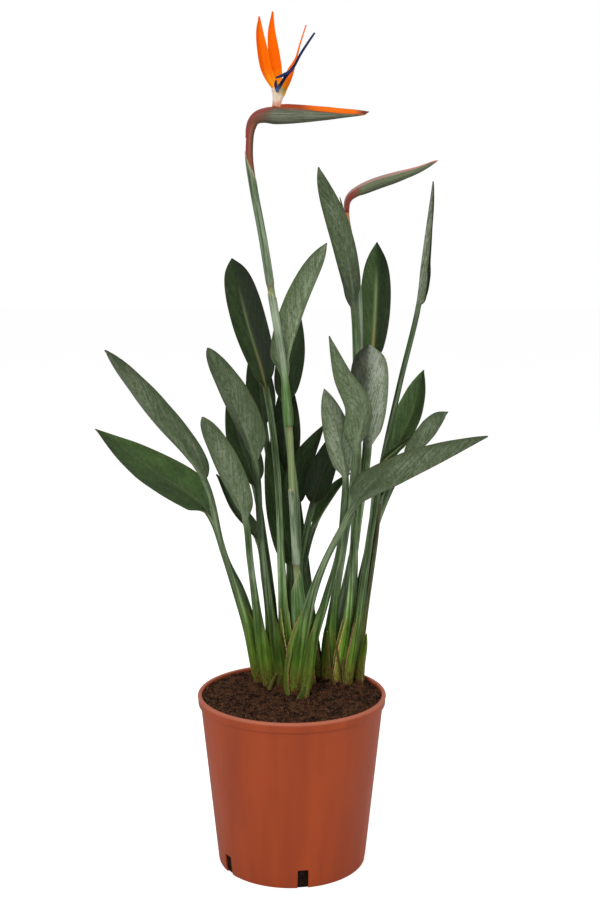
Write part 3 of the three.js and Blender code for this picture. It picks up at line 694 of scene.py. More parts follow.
class Skin:
    """A closed surface built ring by ring, with the numbers that its finish reads."""

    def __init__(self, tip: Point | None = None, upper: Array | None = None) -> None:
        """Starts empty.

        Args:
            tip: Where the surface ends in a point, if its end isn't flat.
            upper: 1 for each side of a ring that is an upper side, if the finish asks for it.
        """
        self.rings: list[Array] = []
        self.marks: list[dict[str, Array | float]] = []
        self.tip = tip
        self.upper = upper

    def add(self, frame: Frame, outline: Array, **marks: Array | float) -> None:
        """Adds a ring.

        Args:
            frame: Origin, side and up.
            outline: Its points in the frame, as rows of across and up.
            marks: Numbers for each of its points or for them all.
        """
        origin, side, up = frame
        self.rings.append(origin + outline[:, :1] * side + outline[:, 1:] * up)
        self.marks.append(marks)

    def parts(self, names: Sequence[str],
              ) -> tuple[Array, list[tuple[int, ...]], dict[str, Array], list[float]]:
        """The surface as plain lists.

        Args:
            names: The numbers to list, 0 on the rings that have none.

        Returns:
            Points, faces, numbers for each point and the upper number of each face.
        """
        count, rows = len(self.rings[0]), len(self.rings)
        points = np.concatenate(self.rings)
        values = {key: np.concatenate([np.broadcast_to(row.get(key, 0.0), count) for row in self.marks])
                  for key in names}
        after = np.roll(np.arange(count), -1)
        faces = [(i * count + j, i * count + after[j], (i + 1) * count + after[j], (i + 1) * count + j)
                 for i in range(rows - 1) for j in range(count)]
        top = self.upper if self.upper is not None else np.zeros(count)
        last = (rows - 1) * count
        faces.append(tuple(range(count - 1, -1, -1)))
        sides = [*np.tile(top, rows - 1), 0.0]
        if self.tip is None:
            faces.append(tuple(range(last, last + count)))
            sides.append(0.0)
        else:
            values = {key: np.append(value, value[last:].mean()) for key, value in values.items()}
            points = np.vstack([points, self.tip])
            faces += [(last + j, last + after[j], len(points) - 1) for j in range(count)]
            sides += list(top)
        return points, faces, values, sides


def make_piece(name: str, skins: Sequence[Skin], material: bpy.types.Material, slot: Slot,
               *nodes: str) -> None:
    """Joins skins in one piece, with every number that its finish reads, and dresses it.

    Args:
        name: Name of the piece.
        skins: Its surfaces.
        material: The finish.
        slot: The record's slot of that finish.
        nodes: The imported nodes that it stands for.
    """
    read = {node.attribute_name for node in material.node_tree.nodes if node.type == "ATTRIBUTE"}
    names = sorted(read - {"upper"})
    points: list[Array] = []
    faces: list[tuple[int, ...]] = []
    marks: list[dict[str, Array]] = []
    sides: list[float] = []
    for skin in skins:
        start = sum(len(block) for block in points)
        block, quads, values, uppers = skin.parts(names)
        points.append(block)
        faces += [tuple(int(i) + start for i in quad) for quad in quads]
        marks.append(values)
        sides += uppers
    piece = add_body(name, np.concatenate(points), faces)
    layers = piece.data.attributes
    for key in names:
        layer = layers.new(key, "FLOAT", "POINT")
        layer.data.foreach_set("value", np.concatenate([values[key] for values in marks]).astype("f"))
    layers.new("upper", "FLOAT", "FACE").data.foreach_set("value", np.array(sides, "f"))
    piece.data.materials.append(material)
    dress(piece, slot, *nodes)


def dress(piece: bpy.types.Object, slot: Slot, *nodes: str) -> None:
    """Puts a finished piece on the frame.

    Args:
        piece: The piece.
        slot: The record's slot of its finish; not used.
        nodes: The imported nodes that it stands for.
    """
    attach(piece, BODY)
    if nodes:
        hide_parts(*nodes)
    log.info("%s: %d faces", piece.name, len(piece.data.polygons))


@dataclass(frozen=True)
class Section:
    """A section across a leaf in millimetres and radians."""

    half: float
    fold: float
    curl: float
    edge: float
    web: float
    rib: float
    keel: float
    groove: float = 0.0
    blunt: float = 8.0
    pinch: float = 1.0

    def scaled(self, scale: float) -> Section:
        """The section with its sizes scaled."""
        sizes = ("half", "edge", "web", "rib", "keel", "groove")
        return replace(self, **{key: getattr(self, key) * scale for key in sizes})

    def mixed(self, other: Section, share: float) -> Section:
        """The section part of the way to another."""
        return Section(*(getattr(self, f.name) * (1 - share) + getattr(other, f.name) * share
                         for f in fields(self)))

    def shares(self, count: int) -> Array:
        """Places from one margin to the other, closer at the midrib of a wide blade."""
        s = np.sin(np.linspace(math.pi / 2, -math.pi / 2, count))
        return np.sign(s) * np.abs(s) ** self.pinch

    def at(self, share: Array, sink: Array) -> Array:
        """Points at or under the upper side.

        Args:
            share: Shares of the half width.
            sink: How far under it each point is.

        Returns:
            Rows of across and up.
        """
        size = np.abs(share)
        bend = max(self.curl, 1e-3)
        angle = self.fold + self.curl * size
        across = self.half * (np.sin(self.fold + bend * size) - math.sin(self.fold)) / bend
        up = self.half * (math.cos(self.fold) - np.cos(self.fold + bend * size)) / bend
        return np.column_stack([np.sign(share) * (across + sink * np.sin(angle)), up - sink * np.cos(angle)])

    def outline(self, count: int, wave: Array | float = 0.0) -> Array:
        """The closed outline, over the upper side and back under it.

        Args:
            count: Points on each side, margins included.
            wave: How far each upper point is lifted.

        Returns:
            Rows of across and up.
        """
        share = self.shares(count)
        near = np.exp(-((share * self.half / (1.3 * self.rib)) ** 2))
        sink = self.groove * near
        body = self.edge + (self.web - self.edge) * (1 - np.clip((np.abs(share) - 0.5) * 2, 0, 1) ** 2)
        rounded = np.sqrt(np.clip(1 - np.abs(share) ** self.blunt, 0, 1))
        thick = (body + (self.keel - self.web) * near) * rounded
        top = self.at(share, sink)
        bottom = self.at(share, np.maximum(thick, sink + 0.3 * (np.abs(share) < 1)))
        for side in (top, bottom):
            side[:, 1] += wave
        ring = np.vstack([top, bottom[-2:0:-1]])
        ring[:, 1] += self.keel / 2
        return ring


# Sections of a leaf: its sheath in the soil, the collar under the blade, and the blade itself.
SHEATH = Section(half=7.5, fold=0, curl=0, edge=4, web=9.2, rib=2, keel=11, blunt=6)
COLLAR = Section(half=3.3, fold=0.5, curl=1, edge=1.5, web=2.6, rib=1.6, keel=4.8, blunt=6)
THIN = Section(half=1, fold=0, curl=0, edge=0.8, web=1, rib=0.8, keel=1.8, groove=0.5, blunt=30, pinch=2.2)


def taper(share: float, widest: float, base: float = 0.45) -> float:
    """The width of a blade as a share of its greatest width.

    Args:
        share: Where, as a share of its length.
        widest: Where it is widest, likewise.
        base: How slowly it widens, 0 for at once.

    Returns:
        The width, from 0 to 1.
    """
    end = base / widest - base
    return share ** base * (1 - share) ** end / (widest ** base * (1 - widest) ** end)


@dataclass(frozen=True)
class Leaf:
    """One leaf: its route, blade and looks.

    The route goes from the foot in the soil along the stalk's points to the collar, and on along the
    blade's. Face is where the blade's upper side looks; fold and curl are the degrees that its halves rise
    and roll in. Widest, base and point shape its outline: where it is widest, how slowly it widens and how
    blunt its tip is. Skew is how much wider its first half is than its second, at its foot and at its tip.
    Tone, stem and low are how light the blade, the stalk and the blade's foot are, set leaf by leaf; they
    hold painted light and shade as well as the leaf's own colour. Lit is painted light and shade: it makes
    the first half lighter and the second darker. Bloom is the wax on its under side and rib how pale its
    midrib is. The green glow is painted light shining through the blade: it makes the first half greener, or
    the second if it is below 0. Clasp is the height of the sheath's thin margins and hug the angle that they
    reach round.
    """

    name: str
    foot: tuple[float, float]
    stalk: tuple[Point, ...]
    blade: tuple[Point, ...]
    width: float
    face: Point
    fold: float
    curl: float
    widest: float = 0.34
    sheath: float = 1.0
    sheath_face: Point | None = None
    tone: float = 1.0
    bloom: float = 1.0
    stem: float = 1.0
    rib: float = 0.15
    rib_width: float = 0.9
    wave: float = 0.5
    clasp: float = 90
    hug: float = 1.3
    withered: float = 0.0
    point: float = 0.62
    base: float = 0.45
    skew: tuple[float, float] = (0.0, 0.0)
    lit: float = 0.0
    fresh: float = 0.0
    low: float = 1.0
    points_across: int = 21

    def seed(self) -> int:
        """A number of the leaf's own."""
        return sum(ord(letter) for letter in self.name) % 97

    def sheath_side(self) -> Array:
        """The side to which the sheath opens, away from where the leaf leans."""
        x, y = self.stalk[-1][:2]
        return unit(self.sheath_face or (self.foot[0] - x, self.foot[1] - y, 0))

    def turn(self, share: float) -> Array:
        """Which way the stalk's upper side looks at a share of its length."""
        low = self.sheath_side()
        return low + (unit(self.face) - low) * smooth(share, 0.1, 1)

    def half_width(self, share: float) -> float:
        """Half the blade's width.

        Args:
            share: Where, as a share of the blade's length.

        Returns:
            The half width, narrowed to a point at the tip.
        """
        full = max(self.width / 2 * taper(share, self.widest, self.base), 1e-3)
        point = self.point * math.dist(self.stalk[-1], self.blade[-1]) * (1 - share)
        full = (full ** -4 + max(point, 1e-3) ** -4) ** -0.25
        return max(COLLAR.half * (1 - share), full)

    def blade_section(self, share: float) -> Section:
        """The section of the blade.

        Args:
            share: Where, as a share of the blade's length.

        Returns:
            The section.
        """
        half = self.half_width(share)
        thin = replace(THIN, half=half, fold=math.radians(self.fold), curl=math.radians(self.curl))
        keel = THIN.keel + (COLLAR.keel - THIN.keel) * (1 - share) ** 1.6
        return replace(COLLAR.mixed(thin, smooth(share, 0, 0.12)), half=half, keel=keel)

    def stalk_section(self, share: float) -> Section:
        """The section of the sheath and stalk at a share of their length."""
        swell = 1 + 0.2 * math.sin(math.pi * min(1.0, share * 2.5))
        return SHEATH.scaled(self.sheath * swell).mixed(COLLAR, smooth(share, 0.06, 0.66))

    def skins(self) -> list[Skin]:
        """The leaf's surface and the two thin margins of its sheath."""
        points = [(*self.foot, GROUND), *self.stalk, *self.blade]
        line = CentreLine(points)
        collar = len(self.stalk) / (len(points) - 1)
        return [self.body(line, collar), self.margin(line, collar, 1), self.margin(line, collar, -1)]

    def rings(self, line: CentreLine, collar: float) -> list[tuple[Frame, Section, float]]:
        """Where the body's rings are.

        Args:
            line: The leaf's centre line.
            collar: Where on it the blade starts.

        Returns:
            Frame, section and place of each ring, the place from 0 at the soil to 1 at the collar and 2 at
            the tip.
        """
        low, high = self.sheath_side(), unit(self.face)
        deep = (np.array((*self.foot, GROUND - BURIED)), np.array([low[1], -low[0], 0.0]), low)
        rings = [(deep, SHEATH.scaled(self.sheath), -0.05)]
        for share in np.linspace(0, 1, 40)[:-1]:
            rings.append((line.frame(collar * share, self.turn(share)), self.stalk_section(share), share))
        for share in (1 - np.cos(np.linspace(0.0, math.pi, 57)[:-1])) / 2:
            frame = line.frame(collar + (1 - collar) * share, high)
            rings.append((frame, self.blade_section(share), 1 + share))
        return rings

    def body(self, line: CentreLine, collar: float) -> Skin:
        """The sheath, stalk and blade.

        Args:
            line: The leaf's centre line.
            collar: Where on it the blade starts.

        Returns:
            The surface.
        """
        count, seed = self.points_across, self.seed()
        skin = Skin(self.blade[-1], np.repeat([1.0, 0.0], count - 1))
        run, last = 0.0, None
        for frame, section, along in self.rings(line, collar):
            run += 0.0 if last is None else float(np.linalg.norm(frame[0] - last)) * MM
            last = frame[0]
            across = section.shares(count)
            outline = section.outline(count, self.waves(across, along - 1, seed))
            lean = self.skew[0] + (self.skew[1] - self.skew[0]) * max(0.0, along - 1)
            outline[:, 0] *= 1 + lean * smooth(along, 1.02, 1.16) * np.sign(outline[:, 0])
            across = there_and_back(across)
            out = np.abs(across) * section.half
            ends = smooth(along, 0.9, 1.05) * (1 - smooth(along, 1.55, 1.85))
            # Painted light and shade: tone carries some, lit makes the first half lighter and the second
            # darker, and the blade dims towards its tip, partly its own colour and partly painted shade.
            blade = self.tone * (1 + self.lit * np.tanh(across * 4)) * (1 - 0.25 * smooth(along, 1.6, 2))
            blade = blade * (self.low + (1 - self.low) * smooth(along, 1, 1.5))
            # Painted light shining through the blade: the first half greener, or the second if the amount is
            # below 0.
            half = np.clip(across * 3 * np.sign(self.fresh), 0, 1)
            skin.add(frame, outline, across=across, along=along, run=max(0.0, run - BURIED * MM),
                     seed=seed / 7, vein=(out - 0.3 * run / MM) * MM, keel=np.exp(-((out / 1.3) ** 2)),
                     rib=self.rib * ends * np.exp(-((out / self.rib_width) ** 2)),
                     fresh=half * abs(self.fresh) * smooth(along, 1, 1.1), bloom=self.bloom,
                     tone=self.stem + (blade - self.stem) * smooth(along, 0.9, 1.05), withered=self.withered)
        return skin

    def margin(self, line: CentreLine, collar: float, hand: int) -> Skin:
        """One thin margin of the sheath, which clasps what grows inside it.

        Args:
            line: The leaf's centre line.
            collar: Where on it the blade starts.
            hand: 1 or -1 for the side.

        Returns:
            Its surface.
        """
        draw = np.random.default_rng(self.seed() * 2 + hand)
        skin = Skin()
        spread, face = two_faces(np.linspace(0, 1, 9))
        bulge = 0.25 * face
        for share in np.linspace(0, 0.985, 64):
            t = line.station(GROUND + self.clasp * share)
            stalk = min(1.0, t / collar)
            section = self.stalk_section(stalk)
            origin, side, up = line.frame(t, self.turn(stalk))
            if share == 0:
                origin = origin - (0, 0, 9.0)
            ragged = 1 + draw.uniform(-0.05, 0.05) - 0.12 * (draw.uniform() > 0.9)
            reach = self.hug * (1 - share) ** 0.7 * ragged
            angle = -0.25 + (reach + 0.25) * spread
            wide, tall = section.half + bulge, section.half * 1.25 + bulge
            ring = np.column_stack([hand * wide * np.cos(angle), section.keel / 2 + tall * np.sin(angle)])
            skin.add((origin, side, up), ring[::hand], across=hand * (1 + 0.9 * spread[::hand]), along=stalk,
                     run=self.clasp * share * MM, margin=np.maximum(spread[::hand], smooth(share, 0.9, 1)),
                     seed=self.seed() / 7, tone=self.stem, withered=self.withered)
        skin.tip = origin + hand * section.half * side + section.keel / 2 * up + (0, 0, 2.0)
        return skin

    def waves(self, across: Array, share: float, seed: float) -> Array | float:
        """How far the margins rise and fall.

        Args:
            across: Shares of the half width.
            share: Share of the blade's length.
            seed: A number of the leaf's own.

        Returns:
            The lift of each point.
        """
        if share <= 0:
            return 0.0
        swing = np.sin(2 * math.pi * (1.7 * share) + seed + np.sign(across) * 1.3)
        ripple = 0.35 * np.sin(2 * math.pi * (4.3 * share) + 2 * seed + np.sign(across))
        return self.wave * np.abs(across) ** 1.6 * (swing + ripple) * math.sin(math.pi * min(1, share)) ** 0.5


LEAVES = (
    Leaf('leaf_left_outer_high', (-44, 46), ((-55, 45, 275), (-75, 40, 343), (-92, 33, 403), (-112, 20, 489)),
         ((-173, -1, 577), (-226, -26, 656)), 51, (0.5, 0.8, 0.5), 20, 20, widest=0.43, sheath=1.15,
         tone=0.85, lit=-0.18, bloom=1.15, skew=(0, -0.33), clasp=118, hug=1.5),
    Leaf('leaf_left_outer_low', (-41, 67), ((-50, 66, 270), (-68, 65, 334), (-86, 62, 374), (-111, 64, 440)),
         ((-191, 72, 500), (-257, 78, 548)), 60, (0.1, -0.75, 0.7), 8, 16, widest=0.3, sheath=0.85, clasp=70,
         tone=1.42, skew=(-0.1, 0.25), lit=-0.1, fresh=-0.35, rib=0.1),
    Leaf('leaf_left_middle', (-15, 25), ((-24, 28, 278), (-33, 26, 345), (-41, 22, 425), (-47, 14, 514)),
         ((-73, -8, 593), (-101, -34, 659)), 44, (0.3, 0.9, 0.3), 16, 18, widest=0.42, sheath=0.95, bloom=0.9,
         tone=0.85, stem=0.65, clasp=100, point=1.1, skew=(0.35, -0.15), hug=1.5),
    Leaf('leaf_left_front_low', (-32, 28), ((-42, 26, 279), (-49, 23, 339), (-54, 16, 387), (-59, 5, 441)),
         ((-82, -20, 512), (-107, -50, 577)), 40, (0.3, 0.9, 0.4), 16, 18, widest=0.46, sheath=0.95, clasp=84,
         point=0.9, skew=(0.1, -0.15)),
    Leaf('leaf_left_narrow', (-29, 47), ((-31, 55, 298), (-37, 62, 350), (-45, 72, 400)),
         ((-75, 90, 437), (-101, 105, 484)), 26, (0.3, -0.7, 0.6), 30, 20, sheath=0.7, tone=1.0, clasp=60),
    Leaf('leaf_left_tall', (-10, 45), ((-11, 42, 275), (-15, 50, 379), (-20, 62, 496), (-34, 78, 601)),
         ((-58, 95, 684), (-79, 112, 769)), 48, (0.1, -0.95, 0.2), 14, 10, widest=0.54, rib=1.0,
         rib_width=1.5, point=1.0, tone=0.7, lit=0.45, stem=1.7, skew=(-0.16, 0), clasp=110, hug=1.5),
    Leaf('leaf_centre_tall', (20, 45), ((9, 46, 327), (4, 45, 459), (-4, 43, 538), (-8, 38, 615)),
         ((13, 22, 706), (43, 2, 785)), 36, (-0.3, 0.9, 0.2), 22, 14, widest=0.45, sheath=0.75, bloom=1.2,
         tone=1.35, stem=1.6, skew=(-0.85, -0.1), base=0.38, lit=0.2),
    Leaf('leaf_centre_back', (25, 94), ((21, 101, 320), (6, 108, 453), (-9, 112, 578)),
         ((0, 118, 649), (6, 128, 712)), 40, (0, -0.95, 0.2), 14, 14, sheath=0.8, tone=0.8),
    Leaf('leaf_centre_back_low', (5, 87), ((2, 98, 317), (-5, 110, 397), (-12, 121, 479)),
         ((-9, 132, 549), (-7, 146, 618)), 44, (0.1, -0.95, 0.3), 14, 14, sheath=0.8, tone=0.8),
    Leaf('leaf_left_back_high', (-12, 69), ((-12, 88, 319), (-24, 107, 451), (-38, 119, 550)),
         ((-45, 130, 606), (-50, 144, 668)), 42, (0.1, -0.95, 0.3), 14, 14, sheath=0.75, tone=0.7),
    Leaf('leaf_left_back_low', (-27, 66), ((-29, 75, 322), (-38, 84, 400), (-50, 88, 472)),
         ((-70, 97, 530), (-86, 112, 592)), 44, (0.2, -0.9, 0.4), 14, 14, sheath=0.8, tone=0.75),
    Leaf('leaf_centre_low', (3, 53), ((-5, 63, 269), (-6, 74, 320), (-4, 83, 366)),
         ((-18, 92, 452), (-33, 102, 530)), 46, (0.2, -0.9, 0.3), 12, 14, sheath=0.75, tone=1.3, lit=0.2),
    Leaf('leaf_middle_back', (31, 66), ((23, 71, 287), (16, 75, 334), (8, 76, 395), (4, 76, 445)),
         ((15, 84, 499), (42, 98, 551)), 38, (-0.2, -0.8, 0.4), 20, 16, sheath=0.7, tone=0.72, lit=0.3),
    Leaf('leaf_middle_dark', (20, 60), ((7, 62, 311), (14, 62, 388), (28, 60, 453)),
         ((44, 66, 501), (64, 78, 554)), 40, (-0.2, -0.85, 0.3), 14, 20, sheath=0.75, tone=0.36),
    Leaf('leaf_middle_narrow', (19, 79), ((9, 87, 306), (16, 92, 362), (31, 98, 417)),
         ((53, 112, 451), (78, 130, 482)), 28, (-0.4, -0.6, 0.6), 34, 20, sheath=0.7, tone=2.0),
    Leaf('leaf_right_front_high', (49, 55),
         ((52, 55, 270), (57, 50, 326), (68, 40, 401), (76, 24, 463), (81, 2, 531)),
         ((87, -15, 580), (64, -38, 625), (45, -54, 674)), 39, (-0.3, 0.9, 0.3), 14, 18, widest=0.24,
         base=0.28, point=0.4, clasp=80, tone=1.15, skew=(-0.12, -0.1), stem=1.2),
    Leaf('leaf_right_front_low', (20, 12),
         ((28, 20, 280), (45, 26, 332), (61, 26, 391), (67, 24, 457), (68, 20, 493)),
         ((56, 4, 554), (40, -18, 608)), 38, (-0.1, 0.95, 0.2), 16, 18, widest=0.38, bloom=1.4, tone=1.2,
         clasp=84),
    Leaf('leaf_top', (62, 66), ((80, 66, 322), (84, 74, 428), (86, 78, 533), (84, 76, 625), (80, 68, 705)),
         ((63, 46, 798), (33, 16, 877)), 35, (-0.3, 0.9, 0.2), 22, 16, widest=0.42, sheath=0.75,
         skew=(0.35, -0.2), low=0.5, point=0.5, tone=0.93, sheath_face=(-1, 0.3, 0), bloom=0.92, stem=1.4),
    Leaf('leaf_right_tall_back', (45, 90),
         ((62, 95, 285), (76, 97, 350), (90, 102, 423), (99, 108, 530), (106, 114, 630)),
         ((111, 126, 714), (113, 144, 791)), 44, (-0.1, -0.95, 0.1), 18, 8, widest=0.5, sheath=0.65, rib=1.0,
         lit=0.5, rib_width=2.0, tone=1.42, stem=1.2),
    Leaf('leaf_right_arching', (4, 6),
         ((15, 10, 290), (28, 3, 345), (44, -4, 391), (63, -12, 431), (81, -20, 464)),
         ((131, -42, 495), (180, -64, 525), (231, -86, 558)), 62, (-0.1, 0.7, 0.7), 36, 14, widest=0.33,
         base=0.25, skew=(-0.15, 0), sheath=1.1, clasp=112, hug=1.7, tone=0.8, low=0.8, point=0.45),
    Leaf('leaf_right_edge_on', (74, 50),
         ((88, 58, 283), (99, 64, 376), (121, 74, 521), (139, 80, 609), (162.4, 85.6, 709)),
         ((167.5, 84, 763), (179.5, 74, 865)), 30, (1, -0.25, 0.1), 30, 16, sheath=0.75, tone=0.8, bloom=1.7,
         lit=0.4, stem=0.9),
    Leaf('leaf_right_silver', (62, 47), ((77, 54, 325), (88, 60, 430), (99, 58, 528)),
         ((97.5, 40, 595), (97, 14, 661)), 60, (0.1, 0.95, 0.3), 24, 20, widest=0.58, sheath=0.75, bloom=1.8,
         wave=1.5, point=1.2, lit=0.65, tone=0.92, stem=1.9),
    Leaf('leaf_right_back_high', (60, 80), ((84, 92, 302), (112, 104, 422), (136, 112, 507)),
         ((161, 130, 561), (178, 150, 620)), 46, (-0.4, -0.8, 0.3), 26, 10, widest=0.44, sheath=0.75, rib=0.1,
         rib_width=2.2, tone=2.2, lit=0.45),
    Leaf('leaf_right_back_low', (74, 66), ((87, 76, 279), (99, 84, 365), (125, 88, 452), (153, 89, 506)),
         ((182, 101, 537), (208, 120, 566)), 36, (-0.3, 0.7, 0.3), 20, 14, widest=0.52, point=1.2,
         sheath=0.75, rib=0.0, tone=0.85),
    Leaf('leaf_right_young', (75, 35), ((90, 38, 326), (102, 38, 421), (113, 36, 504)),
         ((133, 31, 526), (151, 28, 543)), 14, (0.3, -0.7, 0.5), 30, 30, sheath=0.6, rib=0.9, tone=1.1),
    Leaf('leaf_right_withered', (86, 58), ((97, 68, 300), (110, 75, 394), (116, 80, 447)),
         ((119, 81, 456), (125, 79, 470)), 12, (-0.6, -0.4, 0.6), 40, 30, sheath=0.55, tone=0.8,
         withered=0.5),
)


@dataclass
class Leaves:
    """The leaves of the clumps and the two old sheaths at their foot."""

    skin: LeafSkin = LeafSkin()

    def build(self) -> None:
        """Makes each leaf over its node."""
        material = self.skin.material()
        for leaf in LEAVES:
            make_piece(leaf.name.replace("leaf_", "blade_"), leaf.skins(), material, Slot.LEAF, leaf.name)
        for old in OLD_SHEATHS:
            make_piece(f"old_{old.name}", [old.skin()], material, Slot.STALK, old.name)
        make_piece("husks", [husk.skin() for husk in HUSKS], material, Slot.STALK)


@dataclass(frozen=True)
class Husk:
    """A thin dry or green remnant of a sheath, bent across and ragged at its margins."""

    line: tuple[Point, ...]
    width: float
    face: Point
    bend: float = 1.0
    blunt: float = 0.25
    withered: float = 0.5
    tone: float = 1.0
    thick: float = 0.6

    def skin(self) -> Skin:
        """Its surface."""
        line, skin = CentreLine(self.line), Skin(self.line[-1])
        draw = np.random.default_rng(int(self.width * 10) + len(self.line))
        spread, face = two_faces(np.linspace(1, -1, 9))
        for share in np.linspace(0, 0.985, 36):
            half = self.width / 2 * min(1.0, ((1 - share) / self.blunt)) ** 0.5 * draw.uniform(0.93, 1.0)
            radius = half / self.bend + self.thick / 2 * face
            ring = np.column_stack([radius * np.sin(self.bend * spread),
                                    radius * np.cos(self.bend * spread) - half / self.bend])
            skin.add(line.frame(share, self.face), ring, across=spread, along=0.1, run=0.02 + 0.06 * share,
                     margin=np.maximum(np.abs(spread), smooth(share, 0.9, 1)), seed=self.width,
                     tone=self.tone, withered=self.withered)
        return skin


@dataclass(frozen=True)
class OldSheath:
    """A short sheath whose leaf is gone."""

    name: str
    foot: tuple[float, float]
    line: tuple[Point, ...]
    tip: Point
    scale: float
    blunt: float = 0.12

    def skin(self) -> Skin:
        """Its surface."""
        line = CentreLine([(*self.foot, GROUND), *self.line, self.tip])
        face = unit((self.foot[0] - self.tip[0], self.foot[1] - self.tip[1], 0))
        deep = (np.array((*self.foot, GROUND - BURIED)), np.array([face[1], -face[0], 0.0]), face)
        count = 15
        skin = Skin(self.tip, np.repeat([1.0, 0.0], count - 1))
        full, narrow = SHEATH.scaled(self.scale), SHEATH.scaled(self.scale * 0.3)
        for share in (-1.0, *np.linspace(0, 0.985, 26)):
            frame = deep if share < 0 else line.frame(share, face)
            close = math.sqrt(1 - max(0.0, (share - 1 + self.blunt) / self.blunt) ** 2)
            section = full.mixed(narrow, max(0.0, share) ** 1.5).scaled(max(0.12, close))
            across = there_and_back(section.shares(count))
            edge = np.maximum(0.86 * np.abs(across) ** 3, smooth(share, 0.93, 1))
            skin.add(frame, section.outline(count), across=across, along=max(share, -0.05) * 0.3,
                     run=max(share, 0.0) * 0.06, margin=edge, seed=self.scale, tone=1.0, withered=0.15)
        return skin


OLD_SHEATHS = (
    OldSheath('sheath_front', (17, -9), ((19, -7, 226),), (23, -4, 244), 0.9, blunt=0.4),
    OldSheath('sheath_right', (90, 43), ((92, 45, 240), (96, 49, 262)), (98, 52, 281), 0.8, blunt=0.3),
)


HUSKS = (
    Husk(((-6, -1, 209), (-8, -1, 232), (-7, 0, 254), (-1, 2, 273)), 9, (-0.6, -0.8, 0), withered=0.25),
    Husk(((58, 37, 209), (50, 38, 232), (47, 39, 262), (46, 40, 288)), 4.5, (0, -1, 0), withered=1.0,
         blunt=0.6),
    Husk(((66, 37, 209), (62, 38, 240), (58, 39, 264), (55, 40, 284)), 4, (0.3, -1, 0), withered=0.9,
         blunt=0.7),
    Husk(((70, 36, 209), (68, 37, 232), (67, 38, 252)), 6, (0.3, -1, 0), withered=0.4, blunt=0.7),
    Husk(((10, -14, 209), (13, -14, 218), (17, -12, 231)), 12, (0, -1, 0.1), bend=0.7, blunt=0.7,
         withered=0.1, tone=0.55),
    Husk(((25, 40, 209), (24, 41, 222), (25, 42, 232)), 8, (0, -1, 0), withered=0.95, blunt=0.6),
    Husk(((-32, 16, 209), (-26, 16, 224), (-20, 17, 238)), 7, (0, -1, 0), withered=0.6, blunt=0.8),
    Husk(((72, 79, 806), (66.5, 78.5, 824), (61, 78, 846)), 5, (-0.5, -1, 0), withered=0.0, tone=0.8,
         blunt=1.0),
)


